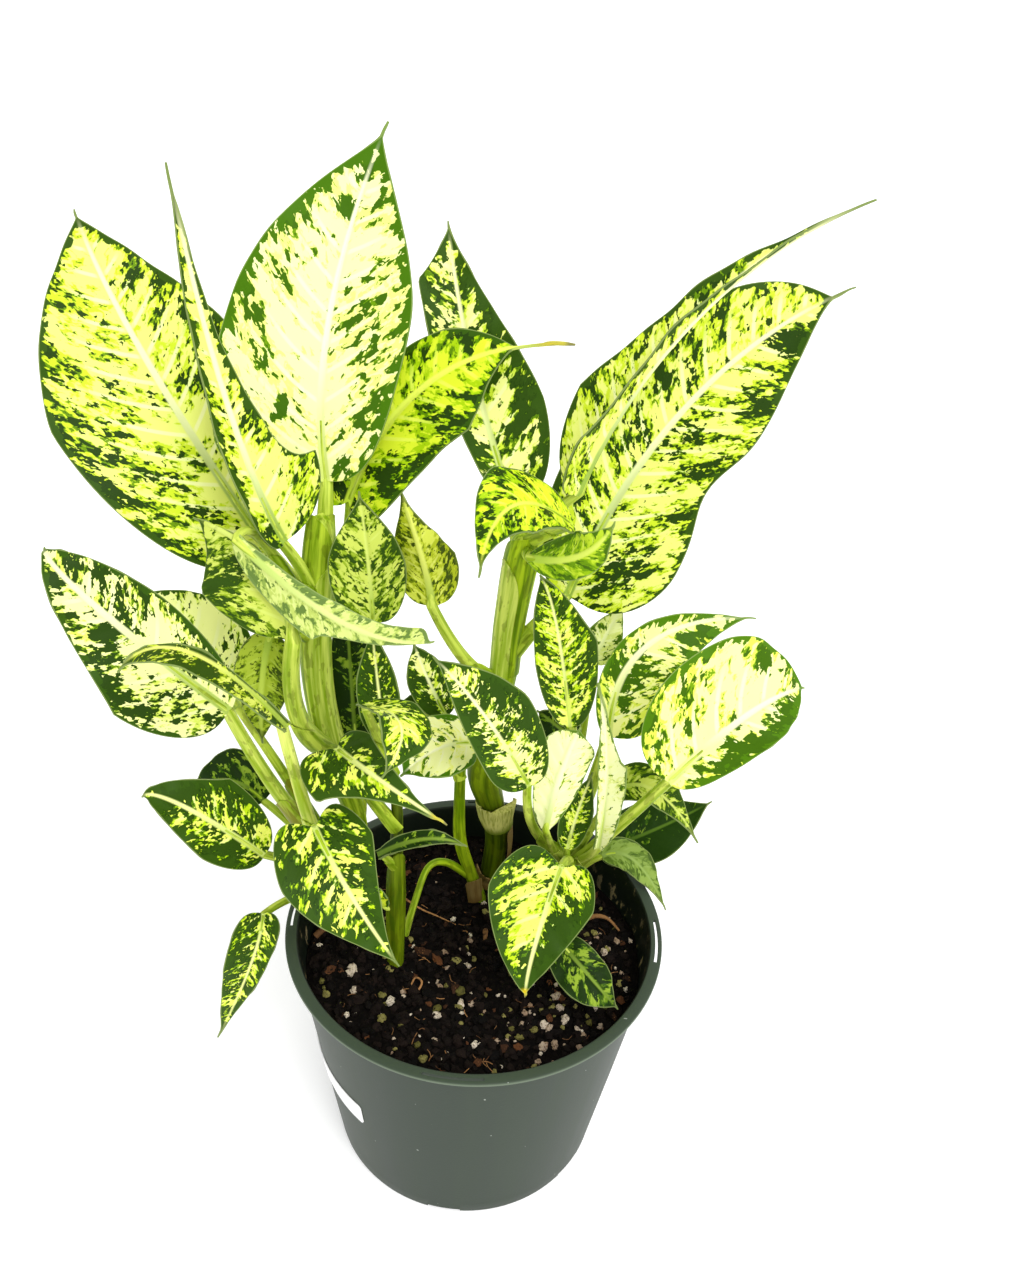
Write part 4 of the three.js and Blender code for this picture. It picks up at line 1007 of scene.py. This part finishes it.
twig_tone = twig_grain.between(0.5, 0.7).colours(twig_tone, tone(60, 38, 24))
coat(litter, twig_finish, twig_shader, twig_tone, twig_grain, 0.0003, 0.6)
hand_in(litter, "soil", "soil")

# The blades are thin soft sheets, waved at the edge and quilted between the side veins. Each is pale in the
# middle, with dark green blotches drawn out along the side veins and a dark green margin, and its midrib
# stands out as a round ridge underneath.
BLADE_START = 2
BLADE_END = 0.25
BLADE_THICK = 0.6
# rows crowd towards base and tip, columns towards the midrib, and these shares of their places are even
EVEN_ROWS = 0.3
EVEN_COLUMNS = 0.55
TAPER = 1.2
VEIN_SWEEP = 0.25
PINCH_PLACE = 0.33
PINCH_LENGTH = 0.12
WAVE_COUNT = 2.4
WAVE_SHIFT = 1.1
FRILL = 0.35
FRILL_COUNT = 6.3
FRILL_SHIFT = 2
QUILT = 0.35
RIB_WIDE = 1.9
RIB_SLIMMER = 0.7
RIB_GROOVE = 0.5
RIDGE_WIDER = 1.3
# a blade with more than this reach is large: its columns and rows, its side veins' step, its midrib's height
LARGE_HALF = 18
LARGE_BLADE = (44, 72, 11, 2.6)
SMALL_BLADE = (30, 46, 6, 1.8)
VEIN_STEP = LARGE_BLADE[2]
# how far back the side veins, and the blotches beside them, run towards the edge: even share and bend
VEIN_LEAN = (0.6, 0.4)
BLOTCH_LEAN = (0.5, 0.2)


def sides_of(value, s):
    left, right = value if isinstance(value, tuple) else (value, value)
    return np.where(s < 0, left, right).astype(float)


def blade(name, leaf, seed):
    widest = max(leaf["half"])
    columns, rows, step, rib_high = LARGE_BLADE if widest > LARGE_HALF else SMALL_BLADE
    even_rows = np.linspace(0, 1, rows + 1)
    t = EVEN_ROWS * even_rows + (1 - EVEN_ROWS) * (0.5 - 0.5 * np.cos(np.pi * even_rows))
    even_columns = np.linspace(-1, 1, columns + 1)
    s = (even_columns * (EVEN_COLUMNS + (1 - EVEN_COLUMNS) * np.abs(even_columns)))[None, :]
    rib, along, across, up = blade_frame(leaf, t)
    t = t[:, None]
    q, side = np.abs(s), np.sign(s)
    wide, full = sides_of(leaf["wide"], s), sides_of(leaf["full"], s)
    before = np.sqrt(np.maximum(0, 1 - (1 - np.minimum(t / wide, 1)) ** 2))
    after = (1 - np.clip((t - wide) / (1 - leaf["drip"] - wide), 0, 1) ** full) ** TAPER
    pinched = 1 - sides_of(leaf["pinch"], s) * np.exp(-((t - PINCH_PLACE) / PINCH_LENGTH) ** 2)
    start = BLADE_START + (BLADE_END - BLADE_START) * t
    reach = np.maximum(sides_of(leaf["half"], s) * np.where(t < wide, before, after) * pinched, start)
    fold = np.radians(sides_of(leaf["fold"], s))

    def waved(count, shift):
        return leaf["wave"] * np.sin(np.pi * t) * np.sin(2 * np.pi * count * t + shift)

    ripple = q ** 2 * waved(WAVE_COUNT, side * WAVE_SHIFT)
    frill = FRILL * q ** 4 * waved(FRILL_COUNT, side * FRILL_SHIFT + seed)
    lift = reach * q * np.sin(fold) + ripple + frill
    back = np.where(t < wide, leaf["heart"] * (1 - np.minimum(t / wide, 1)) ** 2, 0)
    forward = reach * q * (VEIN_SWEEP * np.minimum(t / wide, 1) - back)
    length = run_length(rib)[:, None]
    spread = reach * q
    vein, drawn = (length + forward - even * spread - bend * spread ** 2 / widest
                   for even, bend in (VEIN_LEAN, BLOTCH_LEAN))
    quilting = -QUILT * (0.5 + 0.5 * np.cos(2 * np.pi * vein / step))
    quilting = quilting * np.minimum(1, spread / 3) * (1 - q ** 4)
    rib_wide = RIB_WIDE * (1 - RIB_SLIMMER * t)
    groove = -RIB_GROOVE * np.exp(-(spread / rib_wide) ** 2) * np.minimum(1, reach / 5)
    lift = lift + (quilting + groove) * np.minimum(1, reach / 6)
    out = side * spread * np.cos(fold)
    points = (rib[:, None] + out[..., None] * across[:, None] + lift[..., None] * up[:, None]
              + forward[..., None] * along[:, None])
    piece = grid_piece(name, columns, rows)
    numbers_to_mesh(piece, points)
    write_vectors(piece, "flow", spread.shape, side * spread, vein, drawn)
    write_vectors(piece, "place", spread.shape, q, t, reach * (1 - q))
    patch = np.zeros_like(spread)
    for at_s, at_t, size, strength in leaf["patches"]:
        away = np.hypot(spread * side - reach * at_s, (t - at_t) * length[-1])
        patch += strength * np.exp(-(away / size) ** 2)
    write_vectors(piece, "growth", spread.shape, patch, leaf["dry"], step)
    write_attribute(piece, "chance", "FLOAT", np.full_like(spread, seed))
    ridge = piece.vertex_groups.new(name="ridge")
    bulge = (1 - t) * np.exp(-(spread / (RIDGE_WIDER * rib_wide)) ** 2)
    weight = (BLADE_THICK + (rib_high - BLADE_THICK) * bulge) / rib_high
    for index, value in enumerate(weight.ravel()):
        ridge.add([index], float(value), "REPLACE")
    apply_modifier(piece, "SOLIDIFY", thickness=rib_high * MM, offset=-1, vertex_group="ridge",
                   material_offset=1, material_offset_rim=0)
    return piece


# The noises behind the blotches: how fine each is across and along the blade, the step from leaf to leaf and
# its start, then detail, roughness and distortion. The spreads say how far they stray from their middle, 0.5.
BIG_NOISE = (0.2, 0.21, 9.1, 0, 3.0, 0.55, 0.6)
FINE_NOISE = (0.5, 0.56, 4.3, 0, 2.0, 0.5, 0.5)
OTHER_NOISE = (0.26, 0.28, 5.7, 30, 3.0, 0.55, 0.6)
CLOUD_NOISE = (0.05, 0.08, 3.1, 60, 2.0, 0.5, 0.0)
BIG_SPREAD = 0.077
FINE_SPREAD = 0.085
CLOUD_SPREAD = 0.082
MARGIN_CROWDING = 1.3
SMALLER_FINER = -0.4
PATCH_PUSH = 0.1
VEIN_PUSH = 0.05
# how the halo is mixed of blotch and other noise, and the tint of halo, other noise and cloud
HALO_MIX = (0.7, 0.3)
TINT_MIX = (0.35, 0.35, 0.3)
TINT_OVERLAP = 0.1
# how softly each tone sets in, in the measure of the thing that it follows
LIME_EDGE = (-0.02, 0.03)
GREEN_EDGE = (-0.004, 0.016)
DARK_EDGE = (-0.004, 0.006)
SOLID_EDGE = (0.02, 0.06)
MARGIN_EDGE = (-0.25, 0.1)
RIB_EDGE = (-0.6, 0.3)
PALE_RIM_AND_HIGHLIGHT = (0.4, 0.2)
# how far along the blade a dry tip turns yellow and then brown
YELLOW_FROM = (0.86, 0.93)
BROWN_FROM = (0.965, 0.985)


def together(*parts):
    """How far a sum strays whose parts are given as weight and spread."""
    return math.sqrt(sum((weight * spread) ** 2 for weight, spread in parts))


UNDERSIDE_TONE = tone(120, 142, 66)
UNDERSIDE_SHARE = 0.25


def duller(colour):
    """The tone of the same part of a blade seen from underneath."""
    return tuple((1 - UNDERSIDE_SHARE) * c + UNDERSIDE_SHARE * g for c, g in zip(colour, UNDERSIDE_TONE))


def blade_finish(name, tones, shares, rim, fleck=0.35, drift=0.5, band=0.0, rib=0.15, under=False):
    """A face of a blade. Each share is a pair, how much of it a tone covers at the midrib and the margin."""
    tones = [tone(*each) for each in tones]
    field, lime, green, dark, solid, margin, rib_foot, rib_top = map(duller, tones) if under else tones
    finish, shader, wire = new_finish(name, 0.55 if under else 0.45, 0.08)
    spread, vein, drawn = wire.attribute("flow").parts()
    q, t, edge = wire.attribute("place").parts()
    patch, dry, step = wire.attribute("growth").parts()
    seed = wire.attribute("chance", "Fac")
    outward = q ** MARGIN_CROWDING
    small = (step / VEIN_STEP) ** SMALLER_FINER

    def clouded(x, y, fine_x, fine_y, seed_step, seed_start, *texture):
        return wire.noise(wire.joined(x * fine_x, y * fine_y, seed * seed_step + seed_start), 1.0, *texture)

    near, down = spread * small, drawn * small
    big, fine, other = (clouded(near, down, *kind) for kind in (BIG_NOISE, FINE_NOISE, OTHER_NOISE))
    cloud = clouded(spread, vein, *CLOUD_NOISE)
    across = wire.maths("ABSOLUTE", spread)
    veins = wire.maths("COSINE", (vein + seed) * (2 * math.pi) / step).between(0.75, 1.0)
    veins = veins * (1 - q.between(0.35, 0.8)) * across.between(0.5, 3.0)
    blotch = big * (1 - fleck) + fine * fleck + (cloud - 0.5) * drift + patch * PATCH_PUSH
    blotch = blotch - veins * VEIN_PUSH
    blotch_spread = together((1 - fleck, BIG_SPREAD), (fleck, FINE_SPREAD), (drift, CLOUD_SPREAD))
    halo = blotch * HALO_MIX[0] + other * HALO_MIX[1]
    halo_spread = together((HALO_MIX[0], blotch_spread), (HALO_MIX[1], BIG_SPREAD))
    tint = halo * TINT_MIX[0] + other * TINT_MIX[1] + cloud * TINT_MIX[2]
    tint_spread = together((TINT_MIX[0], halo_spread), (TINT_MIX[1] + TINT_OVERLAP, BIG_SPREAD),
                           (TINT_MIX[2], CLOUD_SPREAD))

    def above(value, spread, pair):
        """How far the value stands above the line that leaves the given shares of the blade above it."""
        first, last = (0.5 - spread * statistics.NormalDist().inv_cdf(share) for share in pair)
        return value - outward * (last - first) - first

    dark_height = above(blotch, blotch_spread, shares[0])
    colour = above(tint, tint_spread, shares[2]).between(*LIME_EDGE).colours(field, lime)
    colour = (veins * 0.7).colours(colour, rib_top)
    colour = above(halo, halo_spread, shares[1]).between(*GREEN_EDGE).colours(colour, green)
    colour = dark_height.between(*DARK_EDGE).colours(colour, dark)
    colour = dark_height.between(*SOLID_EDGE).colours(colour, solid)
    ragged = rim * (step / VEIN_STEP) * (0.1 + 1.8 * big.between(0.35, 0.65)) * t.between(0.0, 0.1)
    ragged = ragged + t.between(0.88, 0.99) * 4 + t.between(0.0, 0.3) * band
    colour = (ragged - edge).between(*MARGIN_EDGE).colours(colour, margin)
    rib_width = (1 - t * 0.8) * step * rib
    rib_mask = (rib_width - across).between(*RIB_EDGE) * t.between(0.98, 0.8)
    colour = rib_mask.colours(colour, t.between(0.0, 0.5).colours(rib_foot, rib_top))
    colour = (dry * t.between(*YELLOW_FROM)).colours(colour, tone(214, 190, 20))
    colour = (dry * t.between(*BROWN_FROM)).colours(colour, tone(110, 70, 24))
    # a thin pale line along the blade's edge: partly the blade's own pale rim, partly a painted highlight on
    # the edge
    colour = (edge.between(*PALE_RIM_AND_HIGHLIGHT) * 0.45).colours(colour, tone(168, 184, 110))
    connect(colour, shader, "Base Color")
    connect((0.5 if under else 0.4) + fine * 0.14, shader, "Roughness")
    roughen(shader, fine * 0.5 + big * 0.5, 0.0002, 0.5)
    return finish


# tones: pale field, second tone, mid green, dark flecks, wide dark areas, margin, foot and top of the midrib.
# shares: dark, mid green and second tone, each at the midrib and at the margin. rim is the margin's breadth.
PATTERNS = {
    "cream": dict(tones=((230, 238, 122), (200, 222, 44), (100, 138, 8), (34, 60, 6), (38, 64, 10),
        (50, 80, 12), (150, 178, 70), (242, 244, 188)), shares=((0.05, 0.36), (0.11, 0.55), (0.3, 0.92)),
        rim=1.5, fleck=0.5),
    "pearl": dict(tones=((241, 244, 172), (236, 240, 128), (104, 146, 8), (60, 100, 4), (60, 100, 6),
        (66, 110, 4), (210, 224, 120), (243, 244, 204)), shares=((0.04, 0.16), (0.07, 0.24), (0.25, 0.7)),
        rim=3.0, fleck=0.25),
    "ghost": dict(tones=((238, 242, 178), (224, 232, 140), (128, 160, 30), (70, 104, 16), (70, 104, 16),
        (84, 118, 24), (196, 212, 120), (238, 242, 190)), shares=((0.02, 0.12), (0.04, 0.2), (0.25, 0.5)),
        rim=0.8, fleck=0.4),
    "lime": dict(tones=((214, 232, 48), (160, 198, 8), (88, 130, 2), (34, 60, 4), (36, 62, 8), (50, 84, 8),
        (192, 216, 60), (228, 240, 96)), shares=((0.14, 0.46), (0.28, 0.65), (0.5, 0.92)), rim=1.5),
    "leafy": dict(tones=((184, 212, 44), (140, 178, 16), (104, 146, 8), (66, 102, 6), (66, 100, 8),
        (72, 110, 10), (170, 200, 70), (210, 226, 96)), shares=((0.06, 0.3), (0.3, 0.75), (0.5, 0.9)),
        rim=1.6),
    "lemon": dict(tones=((222, 230, 104), (184, 202, 48), (108, 136, 16), (46, 72, 8), (50, 76, 16),
        (62, 90, 22), (164, 186, 74), (226, 232, 120)), shares=((0.28, 0.5), (0.4, 0.64), (0.55, 0.9)),
        rim=0.9, fleck=0.45),
    "mustard": dict(tones=((204, 214, 78), (168, 182, 34), (104, 124, 14), (60, 76, 8), (64, 80, 14),
        (78, 94, 22), (164, 186, 74), (214, 222, 104)), shares=((0.14, 0.4), (0.32, 0.6), (0.5, 0.9)),
        rim=1.2, fleck=0.5),
    "rolled": dict(tones=((240, 243, 176), (222, 232, 116), (140, 166, 60), (80, 112, 40), (80, 112, 40),
        (106, 148, 84), (232, 238, 170), (244, 246, 206)), shares=((0.05, 0.3), (0.12, 0.45), (0.3, 0.8)),
        rim=1.5, band=4.5),
    "faded": dict(tones=((206, 220, 126), (180, 198, 96), (136, 160, 72), (98, 124, 54), (98, 124, 56),
        (106, 132, 64), (176, 200, 96), (214, 226, 140)), shares=((0.15, 0.4), (0.3, 0.6), (0.5, 0.85)),
        rim=1.2, fleck=0.35),
    "snow": dict(tones=((240, 244, 162), (214, 230, 92), (100, 136, 12), (36, 64, 4), (40, 66, 10),
        (50, 82, 10), (172, 194, 88), (241, 244, 190)), shares=((0.1, 0.42), (0.15, 0.54), (0.2, 0.65)),
        rim=1.4, fleck=0.5),
    "olive": dict(tones=((198, 212, 92), (150, 176, 42), (92, 122, 10), (44, 72, 6), (46, 74, 12),
        (54, 82, 14), (166, 190, 78), (206, 220, 110)), shares=((0.16, 0.5), (0.36, 0.68), (0.5, 0.85)),
        rim=1.2, fleck=0.45),
    "olive_low": dict(tones=((158, 178, 50), (132, 156, 26), (98, 122, 10), (58, 76, 6), (60, 78, 10),
        (68, 86, 12), (150, 176, 60), (170, 190, 70)), shares=((0.16, 0.5), (0.4, 0.72), (0.5, 0.85)),
        rim=1.2, fleck=0.45),
    "moss": dict(tones=((132, 156, 70), (112, 138, 54), (92, 118, 42), (70, 94, 30), (70, 94, 30),
        (66, 90, 30), (132, 156, 76), (140, 164, 84)), shares=((0.04, 0.2), (0.3, 0.6), (0.5, 0.8)),
        rim=1.6, fleck=0.2),
    "flame": dict(tones=((242, 245, 150), (206, 228, 58), (90, 128, 8), (36, 64, 4), (46, 74, 10),
        (50, 80, 12), (178, 200, 92), (242, 244, 184)), shares=((0.2, 0.84), (0.36, 0.92), (0.5, 0.97)),
        rim=3.4, fleck=0.35, rib=0.12),
    "young": dict(tones=((234, 241, 106), (186, 216, 24), (86, 126, 6), (34, 62, 2), (46, 74, 8),
        (50, 80, 10), (198, 214, 112), (238, 243, 158)), shares=((0.35, 0.72), (0.53, 0.86), (0.62, 0.96)),
        rim=3.0, fleck=0.5, rib=0.1),
    "spring": dict(tones=((243, 245, 160), (224, 236, 84), (112, 154, 8), (58, 96, 4), (62, 100, 4),
        (74, 118, 4), (214, 226, 126), (244, 245, 200)), shares=((0.09, 0.42), (0.15, 0.56), (0.25, 0.9)),
        rim=2.0, fleck=0.3),
    "dark": dict(tones=((140, 166, 48), (98, 128, 22), (50, 82, 8), (22, 44, 3), (26, 48, 6), (30, 54, 8),
        (92, 118, 36), (120, 146, 50)), shares=((0.62, 0.92), (0.78, 0.96), (0.85, 0.95)), rim=2.0,
        fleck=0.25),
    "gloss": dict(tones=((120, 146, 40), (80, 112, 16), (46, 80, 6), (24, 48, 2), (28, 54, 4), (32, 60, 6),
        (60, 90, 20), (80, 110, 30)), shares=((0.95, 0.99), (0.97, 0.995), (0.98, 0.995)), rim=2.0,
        fleck=0.25),
}
upper_faces, under_faces = {}, {}
for leaf in LEAVES.values():
    upper_name, under_name = leaf["finish"], leaf["under"]
    if upper_name not in upper_faces:
        upper_faces[upper_name] = blade_finish(upper_name + "_blade", **PATTERNS[upper_name])
    if under_name not in under_faces:
        under_faces[under_name] = blade_finish(under_name + "_underside", **PATTERNS[under_name], under=True)

for leaf_number, (leaf_name, leaf) in enumerate(LEAVES.items()):
    leaf_piece = blade(leaf_name + "_blade", leaf, leaf_number + 1.0)
    leaf_piece.data.materials.append(upper_faces[leaf["finish"]])
    leaf_piece.data.materials.append(under_faces[leaf["under"]])
    hand_in(leaf_piece, "leaf", leaf_name)
